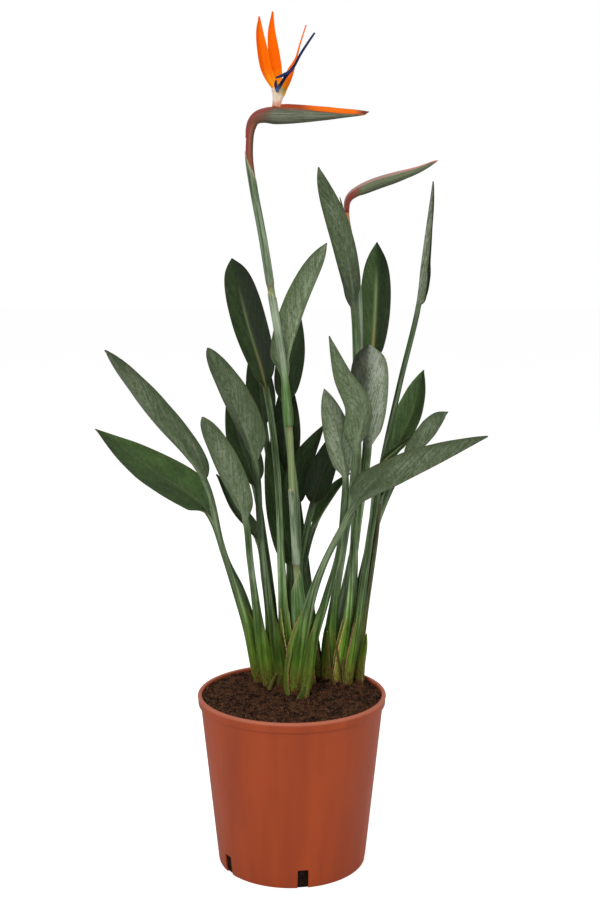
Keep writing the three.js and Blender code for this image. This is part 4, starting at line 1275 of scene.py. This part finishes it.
@dataclass
class NurseryPot:
    """A round moulded pot with a rolled rim and open slots round its foot."""

    height: float = 219
    base_radius: float = 94.4
    shoulder_radius: float = 116.2
    rim_radius: float = 120
    mouth_radius: float = 114.7
    rim_height: float = 12
    wall: float = 2
    bead: float = 2.4
    lip: float = 1.6
    slot_angles: tuple[float, ...] = (-145.8, -81.5, -7.6, 66, 140)
    slot_width: float = 13.5
    slot_height: float = 24.5
    slot_depth: float = 11
    sides: int = 180
    plastic: PotPlastic = PotPlastic()

    def outer(self, height: float) -> float:
        """The radius of the outer wall at a height."""
        share = height / (self.height - self.rim_height)
        return self.base_radius + (self.shoulder_radius - self.base_radius) * share

    def profile(self) -> list[tuple[float, float]]:
        """The outline of the wall as radius and height, from the middle of the floor round to it."""
        top, foot = self.height, self.height - self.rim_height
        base, shoulder = self.base_radius, self.shoulder_radius
        rim, mouth = self.rim_radius, self.mouth_radius
        roof = top - self.rim_height / 2
        floor = [(0, 1.2), (base - 6, 1.2), (base - 4.5, 0), (base - 1.7, 0), (base - 0.5, 0.4), (base, 1.6)]
        walls = [(self.outer(z), z) for z in np.linspace(1.6, foot, 24)[1:]]
        skirt = [(shoulder + 0.3, foot + 1), (shoulder + 0.6, roof), (rim - 2.2, roof),
                 (rim - 2.1, foot + 0.3), (rim - 1.6, foot), (rim - 1.0, foot + 0.3), (rim - 0.8, foot + 1.2),
                 (rim - 0.5, foot + 7.6)]
        bead = [(rim - self.bead + self.bead * math.cos(a), top - self.bead + self.bead * math.sin(a))
                for a in np.linspace(-0.5, math.pi / 2, 9)]
        lip = [(mouth + self.lip - self.lip * math.cos(a), top - self.lip + self.lip * math.sin(a))
               for a in np.linspace(math.pi / 2, 0, 6)]
        inside = [(mouth, top - 2), (shoulder - self.wall, foot - 1),
                  (self.outer(2 * self.wall) - self.wall, 2 * self.wall),
                  (self.outer(self.wall) - 2 * self.wall, self.wall), (0, self.wall)]
        return [*floor, *walls, *skirt, *bead, *lip, *inside]

    def build(self) -> None:
        """Turns the wall, cuts its slots and dresses the pot."""
        start, *rims, end = self.profile()
        points = [(0, 0, start[1]), (0, 0, end[1])]
        for angle in np.linspace(0, 2 * math.pi, self.sides, endpoint=False):
            points += [around(radius, angle, height) for radius, height in rims]
        rows, faces = len(rims), []
        for i in range(self.sides):
            here, there = 2 + i * rows, 2 + (i + 1) % self.sides * rows
            faces += [(here + j, there + j, there + j + 1, here + j + 1) for j in range(rows - 1)]
            faces += [(0, there, here), (1, here + rows - 1, there + rows - 1)]
        pot, cutter = add_body("pot_wall", points, faces), self.slots()
        cut = pot.modifiers.new("slots", "BOOLEAN")
        cut.operation, cut.object, cut.solver = "DIFFERENCE", cutter, "EXACT"
        mesh = evaluated(pot, "nursery_pot")
        for item in (pot, cutter):
            bpy.data.objects.remove(item)
        mesh.set_sharp_from_angle(angle=math.radians(32))
        mesh.materials.clear()
        mesh.materials.append(self.plastic.material())
        dress(add_object("nursery_pot", mesh), Slot.POT, "pot")

    def slots(self) -> bpy.types.Object:
        """The bodies that cut the slots, with bevelled tops."""
        corners, faces = [], []
        half, low, high, bevel = self.slot_width / 2, -5.0, self.slot_height, 1.5
        right = [(half, low), (half, high - bevel), (half - 0.45, high - 0.45), (half - bevel, high)]
        outline = [(-half, low), *right, *((-side, z) for side, z in right[:0:-1])]
        count = len(outline)
        for angle in np.radians(self.slot_angles):
            x, y, start = math.cos(angle), math.sin(angle), len(corners)
            for radius in (self.base_radius - self.slot_depth, self.base_radius + self.slot_depth):
                corners += [(radius * x - side * y, radius * y + side * x, z) for side, z in outline]
            near = list(range(start, start + count))
            faces += [near[::-1], [i + count for i in near]]
            faces += [(i, j, j + count, i + count) for i, j in zip(near, near[1:] + near[:1])]
        cutter = add_body("slot_cutter", corners, faces)
        cutter.data.shade_flat()
        return cutter


def evaluated(obj: bpy.types.Object, name: str) -> bpy.types.Mesh:
    """The mesh that an object's modifiers make, as a plain mesh.

    Args:
        obj: The object.
        name: Name of the mesh.

    Returns:
        The mesh.
    """
    bpy.context.view_layer.update()
    seen = obj.evaluated_get(bpy.context.evaluated_depsgraph_get())
    mesh = bpy.data.meshes.new_from_object(seen)
    mesh.name = name
    return mesh


@dataclass
class PottingSoil:
    """The filled root ball: a lumpy bed and the crumbs scattered over it."""

    edge_height: float = 214.6
    mound: float = -0.6
    edge_radius: float = 113.6
    foot_height: float = 0.4
    foot_radius: float = 91.8
    shoulder: tuple[float, float] = (94.4, 30)
    wall_top: float = 205
    relief: float = 1.2
    rings: int = 70
    sides: int = 200
    crumbs_per_square_metre: float = 165000
    smallest_crumb: float = 0.5
    largest_crumb: float = 2.1
    seed: int = 7
    heap: float = 5.5
    heap_area: float = 70
    feet: tuple[tuple[float, float], ...] = ()
    mix: PottingMix = PottingMix()

    def surface(self, x: float, y: float, waves: Array) -> float:
        """The height of the bed.

        Args:
            x: Across in millimetres.
            y: Back in millimetres.
            waves: Rows of wave vector x, y, phase and height for the lumps.

        Returns:
            The height in millimetres.
        """
        share = math.hypot(x, y) / self.edge_radius
        height = self.edge_height + self.mound * (1 - share ** 2)
        heap = sum(math.exp(-((x - a) ** 2 + (y - b) ** 2) / self.heap_area) for a, b in self.feet)
        height += self.heap * min(1.0, heap)
        broad = 0.6 * math.sin(x / 9 + 1) * math.cos(y / 7) + 0.4 * math.sin(x / 4.3 - y / 5.1)
        lumps = float((waves[:, 3] * np.sin(waves[:, 0] * x + waves[:, 1] * y + waves[:, 2])).sum())
        return height + (self.relief * broad + lumps) * (1 - smooth(share, 0.96, 1))

    def bed(self) -> bpy.types.Object:
        """The bed as one closed body."""
        draw = np.random.default_rng(self.seed)
        angles = draw.uniform(0, 2 * math.pi, 40)
        numbers = 2 * math.pi / draw.uniform(3.5, 14, 40)
        waves = np.column_stack([numbers * np.cos(angles), numbers * np.sin(angles), draw.uniform(0, 6.3, 40),
                                 0.012 * 2 * math.pi / numbers])
        points: list[Point] = [(0, 0, self.surface(0, 0, waves)), (0, 0, self.foot_height)]
        turns = np.linspace(0, 2 * math.pi, self.sides, endpoint=False)
        for ring in range(1, self.rings + 1):
            for x, y, _ in (around(self.edge_radius * ring / self.rings, a, 0) for a in turns):
                points.append((x, y, self.surface(x, y, waves)))
        wall = ((self.edge_radius - 1, self.wall_top), self.shoulder, (self.foot_radius, self.foot_height))
        for radius, height in wall:
            points += [around(radius, a, height) for a in turns]
        faces = []
        starts = range(2, len(points), self.sides)
        for i in range(self.sides):
            after = (i + 1) % self.sides
            faces.append((0, 2 + i, 2 + after))
            faces += [(a + i, b + i, b + after, a + after) for a, b in zip(starts, starts[1:])]
            faces.append((1, starts[-1] + after, starts[-1] + i))
        return add_body("soil_bed", points, faces)

    def crumb_tree(self, material: bpy.types.Material) -> bpy.types.NodeTree:
        """The tree that scatters crumbs on whatever faces up.

        Args:
            material: Finish of the crumbs.

        Returns:
            The tree.
        """
        tree = bpy.data.node_groups.new("soil_crumbs", "GeometryNodeTree")
        for name, way, kind in (("Bed", "INPUT", "Geometry"), ("Crumbs per square metre", "INPUT", "Float"),
                                ("Smallest", "INPUT", "Float"), ("Largest", "INPUT", "Float"),
                                ("Seed", "INPUT", "Int"), ("Crumbs", "OUTPUT", "Geometry")):
            tree.interface.new_socket(name, in_out=way, socket_type=f"NodeSocket{kind}")
        bed, density, smallest, largest, seed = list(add_node(tree, "NodeGroupInput").outputs)[:5]
        normal = add_node(tree, "GeometryNodeInputNormal").outputs[0]
        upward = add_node(tree, "ShaderNodeSeparateXYZ", {0: normal}).outputs[2]
        facing = add_node(tree, "FunctionNodeCompare", {0: upward, 1: 0.5}, operation="GREATER_THAN")
        chosen = {"Mesh": bed, "Selection": facing.outputs[0], "Density": density, "Seed": seed}
        scatter = add_node(tree, "GeometryNodeDistributePointsOnFaces", chosen).outputs["Points"]
        ball = add_node(tree, "GeometryNodeMeshIcoSphere", {"Radius": 1.0, "Subdivisions": 1}).outputs["Mesh"]
        size = add_node(tree, "FunctionNodeRandomValue", {2: smallest, 3: largest, "Seed": seed}).outputs[1]
        ranges = ((0.6, 0.6, 0.5), (1.4, 1.2, 0.9)), ((0.0, 0.0, 0.0), (6.28, 6.28, 6.28))
        squash, turn = (add_node(tree, "FunctionNodeRandomValue", {0: least, 1: most, "Seed": seed},
                                 data_type="FLOAT_VECTOR").outputs[0] for least, most in ranges)
        scale = add_node(tree, "ShaderNodeVectorMath", {0: size, 1: squash}, operation="MULTIPLY").outputs[0]
        spread = add_node(tree, "GeometryNodeInstanceOnPoints",
                          {"Points": scatter, "Instance": ball, "Rotation": turn, "Scale": scale}).outputs[0]
        real = add_node(tree, "GeometryNodeRealizeInstances", {0: spread}).outputs[0]
        paint = add_node(tree, "GeometryNodeSetMaterial", {"Geometry": real, "Material": material}).outputs[0]
        add_node(tree, "NodeGroupOutput", {0: paint})
        return tree

    def build(self) -> None:
        """Makes the bed and its crumbs."""
        material = self.mix.material()
        bed = self.bed()
        bed.data.materials.append(material)
        host = add_object("crumb_host", bed.data.copy())
        modifier = host.modifiers.new("crumbs", "NODES")
        modifier.node_group = self.crumb_tree(material)
        values = {"Crumbs per square metre": self.crumbs_per_square_metre, "Seed": self.seed,
                  "Smallest": self.smallest_crumb * MM, "Largest": self.largest_crumb * MM}
        for item in modifier.node_group.interface.items_tree:
            if item.name in values:
                modifier[item.identifier] = values[item.name]
        crumbs = add_object("soil_crumbs", evaluated(host, "soil_crumbs"))
        bpy.data.objects.remove(host)
        dress(bed, Slot.SOIL, "soil")
        dress(crumbs, Slot.SOIL)


def circle(radius: float, count: int, flat: float = 1.0) -> Array:
    """Points round a circle.

    Args:
        radius: Its radius.
        count: How many points.
        flat: Its height over its width.

    Returns:
        Rows of across and up.
    """
    angles = np.linspace(0, 2 * math.pi, count, endpoint=False)
    return np.column_stack([radius * np.cos(angles), radius * flat * np.sin(angles)])


@dataclass(frozen=True)
class Bract:
    """A sleeve round a flower stalk, which opens into a tip on one side.

    Pale is its wax, bright how vivid a green it is low down, and fades where that green ends, as shares of
    its length. It is widest at its belly, by swell over a length of spread, and opens from a share on.
    """

    lowest: float
    highest: float
    side: Point
    pale: float
    bright: float = 0.0
    opens: float = 0.8
    swell: float = 0.3
    belly: float = 0.12
    spread: float = 0.14
    fades: tuple[float, float] = (0.3, 0.62)


@dataclass(frozen=True)
class FlowerStem:
    """A round stalk with sheathing bracts, from the soil to a spathe."""

    name: str
    node: str
    foot: tuple[float, float]
    line: tuple[Point, ...]
    bracts: tuple[Bract, ...]
    radius: float = 4.2
    neck: float = 4.7
    bract: float = 0.75
    sides: int = 36

    def radius_at(self, t: float) -> float:
        """The stalk's radius at t."""
        return self.radius + (self.neck - self.radius) * t

    def stalk_skin(self, line: CentreLine) -> Skin:
        """The bare stalk, which runs on a little into the spathe.

        Args:
            line: The stalk's centre line.

        Returns:
            Its surface.
        """
        skin = Skin()
        turn = np.linspace(0, 2 * math.pi, self.sides, endpoint=False)
        marks = {"across": np.abs(turn / math.pi - 1), "seed": 0.2}
        deep = (np.array((*self.foot, GROUND - BURIED)), np.array((-1.0, 0, 0)), np.array(STALK_FACE))
        skin.add(deep, circle(self.radius, self.sides), **marks)
        for t in np.linspace(0, 1, 150):
            frame = line.frame(t, STALK_FACE)
            height = frame[0][2]
            ridge = max(math.exp(-(((height - bract.lowest) / 2.2) ** 2)) for bract in self.bracts)
            outward, _, above = np.outer(frame[1], np.cos(turn)) + np.outer(frame[2], np.sin(turn))
            # Above 0 on the neck's upper, left face, for crimson; below 0 on its lower, right face, for
            # painted shade.
            crimson = np.clip(1.3 * (0.65 * above - 0.75 * outward), -0.8, 1) * smooth(height, 846, 900)
            skin.add(frame, circle(self.radius_at(t), self.sides), crimson=crimson, knot=0.6 * ridge, **marks)
        origin, side, up = line.frame(1, STALK_FACE)
        for reach, radius in ((2.0, 4.2), (5.0, 3.0)):
            frame = (origin + reach * line.heading(1), side, up)
            skin.add(frame, circle(radius, self.sides), crimson=0.5, **marks)
        return skin

    def bract_skin(self, line: CentreLine, bract: Bract) -> Skin:
        """The surface of one bract.

        Args:
            line: The stalk's centre line.
            bract: Where it stands and how it looks.

        Returns:
            The sleeve.
        """
        start, end = line.station(bract.lowest), line.station(bract.highest)
        skin = Skin()
        draw = np.random.default_rng(int(bract.highest))
        for share in (0.0, 0.004, 0.012, 0.03, *np.linspace(0.05, 0.95, 56), 0.965, 0.98, 0.992):
            t = start + (end - start) * share
            origin, across, up = line.frame(t, STALK_FACE)
            out = unit(bract.side)
            out = math.atan2(out.dot(up), out.dot(across))
            rise = (origin[2] - bract.lowest) / (bract.highest - bract.lowest)
            gone = min(0.97, max(0.0, (rise - bract.opens) / (1 - bract.opens)))
            reach = math.pi * 0.985 * (1 - gone) * (1 + (draw.uniform(-0.03, 0.02) if gone > 0 else 0))
            grip = smooth(share, 0, 0.02)
            inner = self.radius_at(t) - 0.4
            outer = self.radius_at(t) + grip * self.bract * (1 - 0.45 * share) + 0.5 * smooth(share, 0.5, 1)
            outer += bract.swell * math.exp(-(((share - bract.belly) / bract.spread) ** 2)) * grip
            angles, face = two_faces(np.linspace(-reach, reach, self.sides))
            turns, radii = angles + out, np.where(face > 0, outer, inner)
            ring = np.column_stack([radii * np.cos(turns), radii * np.sin(turns)])
            edge = np.abs(angles / reach) ** 6 * (1 if gone > 0 else 0.3)
            bright = bract.bright * (1 - smooth(share, *bract.fades))
            skin.add((origin, across, up), ring, across=np.abs(turns) / math.pi, seed=bract.highest / 100,
                     sleeve=1.0, pale=bract.pale, bright=bright,
                     edge=np.maximum(edge, smooth(share, 0.93, 1)),
                     knot=0.6 * math.exp(-((share / 0.012) ** 2)))
        return skin

    def build(self, material: bpy.types.Material) -> None:
        """Makes the stalk and its bracts in one piece.

        Args:
            material: Their finish.
        """
        line = CentreLine([(*self.foot, GROUND), *self.line])
        skins = [self.stalk_skin(line), *(self.bract_skin(line, bract) for bract in self.bracts)]
        make_piece(self.name, skins, material, Slot.STALK, self.node)


@dataclass(frozen=True)
class Spathe:
    """A boat-shaped bract, folded along its keel and slit along its top."""

    name: str
    node: str
    axis: tuple[Point, ...]
    depths: tuple[tuple[float, float], ...]
    slit: float
    heel: tuple[tuple[Point, float], ...]
    flatness: float = 0.6
    flank: tuple[tuple[float, float], ...] = ((0.62, -0.62), (1, -0.1), (0.86, 0.5), (0.3, 1))

    def depth(self, share: float) -> float:
        """Half the depth at a share of the length, eased between the stations."""
        line = CentreLine([(a, b, 0) for a, b in (*self.depths, (1.0, 0.3))])
        return float(line.at(line.station(share, 0, 1.0))[1])

    def outline(self, depth: float, share: float, flatness: float) -> Array:
        """The section, round on the heel and folded from there on.

        Args:
            depth: Half its depth.
            share: Where, as a share of the length, below 0 on the heel.
            flatness: Its width over its depth.

        Returns:
            Rows of across and up.
        """
        right = [(x * depth * flatness, z * depth, 0) for x, z in self.flank]
        slit = self.slit * min(1.0, max(0.0, share) * 8) * min(1.0, depth / 6)
        half = CentreLine([(0, -depth, 0), *right, (right[-1][0] * 0.35, depth * 0.995, 0)])
        side = np.array([half.at(t)[:2] for t in np.linspace(0, 1, 16)])
        turns = np.linspace(0, math.pi * 0.97, 16)
        round_side = depth * np.column_stack([np.sin(turns), -np.cos(turns)])
        side += (round_side - side) * (1 - smooth(share, -0.06, 0.1))
        return np.vstack([side, [(0, depth * (1 - share * 0.2) - slit)], side[:0:-1] * (-1, 1)])

    def build(self, material: bpy.types.Material) -> None:
        """Makes the spathe.

        Args:
            material: Its finish.
        """
        line = CentreLine(self.axis)
        back = CentreLine([point for point, _ in self.heel])
        sizes = [size for _, size in self.heel]
        skin = Skin(self.axis[-1])
        for t in np.linspace(0, 0.93, 12):
            depth = float(np.interp(t * (len(sizes) - 1), range(len(sizes)), sizes))
            share = -0.12 * (1 - t)
            outline = self.outline(depth, share, 1.0)
            skin.add(back.frame(t, (-0.3, 0, 1)), outline, along=share, rise=outline[:, 1] / depth)
        for share in np.concatenate([np.linspace(0.004, 0.2, 18), np.linspace(0.22, 0.985, 46)]):
            depth = self.depth(share)
            outline = self.outline(depth, share, self.flatness)
            skin.add(line.frame(share, (0, 0, 1)), outline, along=share, rise=outline[:, 1] / depth)
        make_piece(self.name, [skin], material, Slot.SPATHE, self.node)


@dataclass(frozen=True)
class Petal:
    """A sepal or petal along a line."""

    line: tuple[Point, ...]
    width: float
    face: Point
    fold: float
    curl: float = 0.3
    widest: float = 0.34
    foot: float = 2.8
    drawn: float = 0.0

    def skin(self) -> Skin:
        """Its surface."""
        line, skin = CentreLine(self.line), Skin(self.line[-1])
        for share in (1 - np.cos(np.linspace(0, math.pi, 44)[:-1])) / 2:
            half = max(self.foot * (1 - share) ** 1.5, 0.35, self.width / 2 * taper(share, self.widest))
            if share > 0:
                half = max(half, COLLAR.half * (1 - share))
            half *= 1 - self.drawn * smooth(share, 0.35, 0.6)
            section = Section(half, self.fold, self.curl, edge=0.6, web=0.9, rib=0.8, keel=1.6, groove=0.3,
                              blunt=24, pinch=1.4)
            skin.add(line.frame(share, self.face), section.outline(17), along=share, seed=self.width,
                     across=there_and_back(section.shares(17)))
        return skin


@dataclass
class OpenFlower:
    """The open flower: pale foot, three orange sepals, blue arrow of petals, and the next flower's sliver."""

    fold: float = math.radians(24)
    funnel: tuple = (((-18, 10.5, 948), 5.6), ((-17.4, 10, 953), 5.4), ((-16.6, 9.6, 958), 6.2),
                     ((-15.4, 9.2, 964), 8.4), ((-15, 9, 967.5), 9.2), ((-14.8, 9, 969.5), 8.0))
    cup: tuple = (((-14.8, 9, 964.5), 8.4), ((-14.6, 9, 968), 8.2), ((-14.4, 9, 972), 6.6),
                  ((-14, 9, 976), 4.0))
    flat: float = 0.7
    rises: tuple = ((0.06, 0.6), (0.12, 2.6), (0.2, 4.0), (0.4, 5.1), (0.6, 5.6), (0.8, 5.5), (1.0, 4.2))

    def cone(self, stations: tuple[tuple[Point, float], ...]) -> Skin:
        """A round body of changing width.

        Args:
            stations: Points of its centre line, each with a radius.

        Returns:
            The body.
        """
        line, skin = CentreLine([point for point, _ in stations]), Skin()
        sizes = CentreLine([(radius, index, 0) for index, (_, radius) in enumerate(stations)])
        for share in np.linspace(0, 1, 22):
            outline = circle(float(sizes.at(share)[0]), 32, self.flat)
            skin.add(line.frame(share, STALK_FACE), outline, across=0.5, along=0.02, seed=1.0)
        return skin

    def barb(self, points: tuple[Point, ...], radius: float) -> Skin:
        """One small blue petal.

        Args:
            points: Its centre line.
            radius: Its size.

        Returns:
            Its surface.
        """
        line, skin = CentreLine(points), Skin(points[-1])
        for share in np.linspace(0, 0.96, 18):
            outline = circle(radius * (0.5 + 2.2 * share * (1 - share)), 14)
            skin.add(line.frame(share, STALK_FACE), outline, across=0.4, along=0.3 + 0.4 * share, seed=2.0)
        return skin

    def build(self) -> None:
        """Makes the flower's pieces."""
        cream = CreamSkin().material()
        make_piece("flower_foot", [self.cone(self.funnel)], cream, Slot.FLOWER_BASE, "flower_base")
        orange = PetalSkin("sepal_orange", foot=shade(255, 176, 24), middle=shade(255, 116, 0),
                           tip=shade(248, 96, 4), veins=shade(246, 92, 0))
        sepals = (
            Petal(((-20.5, 10, 967), (-32.5, 13, 990), (-37.5, 14, 1014), (-39.8, 13, 1036),
                   (-38.6, 12, 1054)), 19, (0.5, -0.8, 0.1), self.fold, foot=4.2),
            Petal(((-15.5, 12, 968), (-19, 18, 992), (-22, 21, 1014), (-24.2, 23, 1038), (-22.6, 23, 1062)),
                  17, (0.1, -0.9, 0.1), self.fold, foot=4),
            Petal(((-9.8, 8, 961), (-1.8, 7, 979), (5, 6, 1000), (10.5, 6, 1021), (17.5, 7, 1043)),
                  14, (-0.6, -0.8, 0.3), self.fold, widest=0.22, foot=4.6, drawn=0.8))
        skins = [*(petal.skin() for petal in sepals), self.cone(self.cup)]
        make_piece("sepals", skins, orange.material(), Slot.SEPALS, "flower_sepals")
        blue = PetalSkin("petal_blue", foot=shade(104, 116, 160), middle=shade(32, 34, 72),
                         tip=shade(36, 28, 52), veins=shade(66, 86, 134), rough=0.45, foot_ends=0.2)
        arrow = Petal(
            ((-16.6, 2, 964.5), (-12.2, -2.4, 971), (-6, -5, 980.5), (3.2, -7, 991.5), (11, -6, 1006),
             (19, -5, 1018.5), (28, -3, 1032)),
            5.0, (-0.3, -0.9, 0.3), 1.7 * self.fold, widest=0.42, foot=1.5, drawn=0.4)
        lower = self.barb(((3.4, -7, 991.6), (-1.5, -7.6, 986.4), (-9, -8.4, 982.4), (-19, -9.4, 978.6)), 2.0)
        upper = self.barb(((-17, 2.4, 964), (-18.8, 1, 971.6), (-18.4, 0, 978)), 1.7)
        make_piece("blue_petals", [arrow.skin(), lower, upper], blue.material(), Slot.PETALS, "flower_petals")

    def sliver(self, spathe: Spathe) -> None:
        """The folded sepals that lie in a spathe's slit and rise above it.

        Args:
            spathe: The spathe that holds them.
        """
        line, skin = CentreLine(spathe.axis), Skin((94.3, -3.0, 940.4))
        rises = CentreLine([(*rise, 0) for rise in self.rises])
        shares = [share for share, _ in self.rises]
        for share in np.linspace(shares[0], 0.985, 60):
            depth = spathe.depth(share)
            t = float(np.interp(share, shares, np.linspace(0, 1, len(shares))))
            top = depth + float(rises.at(t)[1])
            seat, middle = 0.45 * depth, depth + 0.2 * (top - depth)
            wide = 1.0 + 0.3 * min(depth, 6.0) * 0.6
            low, high = (seat + middle) / 2, middle * 0.3 + top * 0.7
            ring = [(0, seat), (0.7 * wide, low), (wide, middle), (0.7 * wide, high), (0, top),
                    (-0.7 * wide, high), (-wide, middle), (-0.7 * wide, low)]
            skin.add(line.frame(share, (0, 0, 1)), np.array(ring), along=share, seed=3.0,
                     across=np.array([0, 0.3, 0.5, 0.7, 1, -0.7, -0.5, -0.3]))
        finish = PetalSkin("sliver_orange", foot=shade(140, 66, 40), middle=shade(252, 120, 20),
                           tip=shade(62, 58, 66), veins=shade(206, 74, 26), foot_starts=0.3, foot_ends=0.5)
        make_piece("emerging_sepals", [skin], finish.material(), Slot.SEPALS, "flower_emerging")


@dataclass
class Inflorescences:
    """The stalk, spathe and flower, and the stalk and spathe of the bud."""

    flower_stem: FlowerStem = FlowerStem(
        "flower_scape", "flower_stalk", (8, 28),
        ((10, 34, 277), (6, 34, 370), (1, 32, 462), (-3, 29, 552), (-10, 26, 628), (-25, 22, 725),
         (-35, 19, 789), (-46, 15, 849), (-51, 13, 885), (-51, 12, 905), (-49, 12, 920), (-44, 12, 931),
         (-39, 12, 936), (-33, 12, 938.2)),
        (Bract(216, 372, (0.6, -0.8, 0), 0.5, bright=0.8, opens=0.72, swell=5.0, belly=0.7, spread=0.22,
               fades=(0.85, 1.2)),
         Bract(376, 478, (-0.6, -0.8, 0), 1.0, opens=0.86),
         Bract(556, 728, (-0.5, -0.8, 0), 1.0, bright=1.0, opens=0.9, swell=1.2),
         Bract(732, 896, (-1, -0.2, 0), 0.1, opens=0.75, swell=0.2)))
    bud_stem: FlowerStem = FlowerStem(
        "bud_scape", "bud_stalk", (48, 74),
        ((58, 77, 262), (78, 84, 368), (87, 90, 478), (87, 91, 585), (88, 89, 676), (84, 86, 739),
         (75.5, 82, 791), (70, 79, 822), (71, 77, 838), (75, 76, 846), (81, 75, 850.5)),
        (Bract(216, 390, (0, -1, 0), 0.4), Bract(560, 738, (0.8, -0.6, 0), 0.8),
         Bract(742, 806, (-1, 0, 0), 0.1, opens=0.5)), neck=3.4)
    open_spathe: Spathe = Spathe(
        "open_spathe", "flower_spathe",
        ((-30.8, 12, 938.3), (0, 9, 937.2), (32, 5, 936.5), (64, 1, 936.4), (90, -2.4, 936.8)),
        ((0, 9.2), (0.03, 9.8), (0.1, 10.5), (0.2, 9.9), (0.4, 7.6), (0.5, 6.2), (0.6, 4.9), (0.75, 2.7),
         (0.9, 1.3)),
        2.0, (((-51.6, 13, 911), 4.3), ((-50.4, 13, 923.5), 4.9), ((-46.6, 12.6, 931.3), 6.2),
              ((-40, 12.4, 936.2), 7.9), ((-30.8, 12, 938.3), 9.2)))
    closed_spathe: Spathe = Spathe(
        "closed_spathe", "bud_spathe",
        ((84, 74.6, 852.6), (108, 71, 861.8), (134, 67, 869.8), (160, 63, 878.3), (184, 60, 889.6)),
        ((0, 6.3), (0.08, 7.2), (0.22, 7.6), (0.4, 7.2), (0.6, 5.6), (0.78, 3.9), (0.92, 2.2)),
        0.8, (((69.9, 77.4, 826), 3.3), ((70.4, 77, 838), 4.0), ((73.8, 76.3, 845.1), 4.9),
              ((78.6, 75.4, 849.3), 5.7), ((84, 74.6, 852.6), 6.3)))

    def build(self) -> None:
        """Makes every piece of both."""
        self.flower_stem.build(StemSkin("flower_scape_skin", 800, 850).material())
        self.bud_stem.build(StemSkin("bud_scape_skin", 800, 826, red=shade(196, 130, 84)).material())
        self.open_spathe.build(SpatheSkin("open_spathe_skin", 0.45, 0.9).material())
        # The bud's pale pink along its top is partly its own reddish edge and partly painted highlight.
        closed = SpatheSkin("closed_spathe_skin", 0.9, 1.0, lip_from=0.5, green=shade(70, 84, 46),
                            bloom=shade(120, 128, 100), red=shade(176, 138, 128), lip=shade(230, 106, 76),
                            end=shade(212, 84, 66), neck=shade(138, 62, 48), neck_top=shade(140, 44, 50))
        self.closed_spathe.build(closed.material())
        blossom = OpenFlower()
        blossom.sliver(self.open_spathe)
        blossom.build()


@dataclass
class Studio:
    """A pale floor, soft light and the camera at the photograph's angle, with places in metres."""

    camera_place: Point = (0.0104, -1.544, 0.733)
    pitch: float = math.radians(7.48)
    lens: float = 50
    floor_size: float = 80
    glow: float = 0.42
    white: float = 0.985
    sky: float = 1.0
    target: Point = (0, 0, 0.5)

    def camera(self) -> None:
        """The camera."""
        data = bpy.data.cameras.new("studio_camera")
        data.lens, data.sensor_width, data.sensor_fit = self.lens, 36, "AUTO"
        data.clip_start, data.clip_end = 0.05, 100
        camera = add_object("studio_camera", data)
        camera.location = self.camera_place
        camera.rotation_euler = (math.pi / 2 - self.pitch, 0, 0)
        bpy.context.scene.camera = camera

    def floor(self) -> None:
        """The floor that the pot stands on."""
        half = self.floor_size / 2 / MM
        corners = [(-half, -half, 0), (half, -half, 0), (half, half, 0), (-half, half, 0)]
        floor = add_body("studio_floor", corners, [(0, 1, 2, 3)])
        g = Graph("studio_floor")
        tint = g.blend(g.noise(g.place(), 3), shade(238, 238, 238), shade(242, 242, 242))
        seen = g.node("ShaderNodeLightPath").outputs["Is Camera Ray"]
        even = g.times(seen, self.white - 0.86 * self.glow)
        floor.data.materials.append(g.finish(tint, 0.95, 0, Emission_Color=WHITE, Emission_Strength=even))
        floor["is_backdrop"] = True

    def light(self, name: str, place: Point, size: float, power: float) -> None:
        """A soft square light that points at the plant.

        Args:
            name: Its name.
            place: Where it hangs.
            size: Its side in metres.
            power: Its power in watts.
        """
        data = bpy.data.lights.new(name, "AREA")
        data.shape, data.size, data.energy = "SQUARE", size, power
        lamp = add_object(name, data)
        lamp.location = place
        lamp.rotation_euler = (Vector(self.target) - Vector(place)).to_track_quat("-Z", "Y").to_euler()

    def surroundings(self) -> None:
        """Even light from all round, seen as white."""
        world = bpy.data.worlds.new("studio_surroundings")
        world.use_nodes = True
        tree = world.node_tree
        tree.nodes.clear()
        seen = add_node(tree, "ShaderNodeLightPath").outputs["Is Camera Ray"]
        glow, white = (add_node(tree, "ShaderNodeBackground", {"Color": WHITE, "Strength": power}).outputs[0]
                       for power in (self.glow, self.sky))
        mix = add_node(tree, "ShaderNodeMixShader", {0: seen, 1: glow, 2: white}).outputs[0]
        add_node(tree, "ShaderNodeOutputWorld", {0: mix})
        bpy.context.scene.world = world

    def build(self) -> None:
        """Sets up the studio."""
        bpy.context.scene.view_settings.view_transform = "Standard"
        self.camera()
        self.floor()
        self.surroundings()
        self.light("key_light", (-1.1, -2.6, 2.2), 1.8, 50)
        self.light("fill_light", (2.2, -1.6, 1.2), 2.0, 14)
        self.light("top_light", (0.2, 0.8, 2.8), 1.6, 14)


def corners() -> list[list[float]]:
    """The lowest and highest corner of what shows, as plain numbers."""
    return [[round(value, 5) for value in corner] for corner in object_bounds()]


def main() -> None:
    """Builds the plant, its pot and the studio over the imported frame."""
    logging.basicConfig(level=logging.INFO, format="%(message)s")
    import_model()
    Studio().build()
    NurseryPot().build()
    PottingSoil(feet=tuple(leaf.foot for leaf in LEAVES)).build()
    Leaves().build()
    Inflorescences().build()


if __name__ == "__main__":
    main()
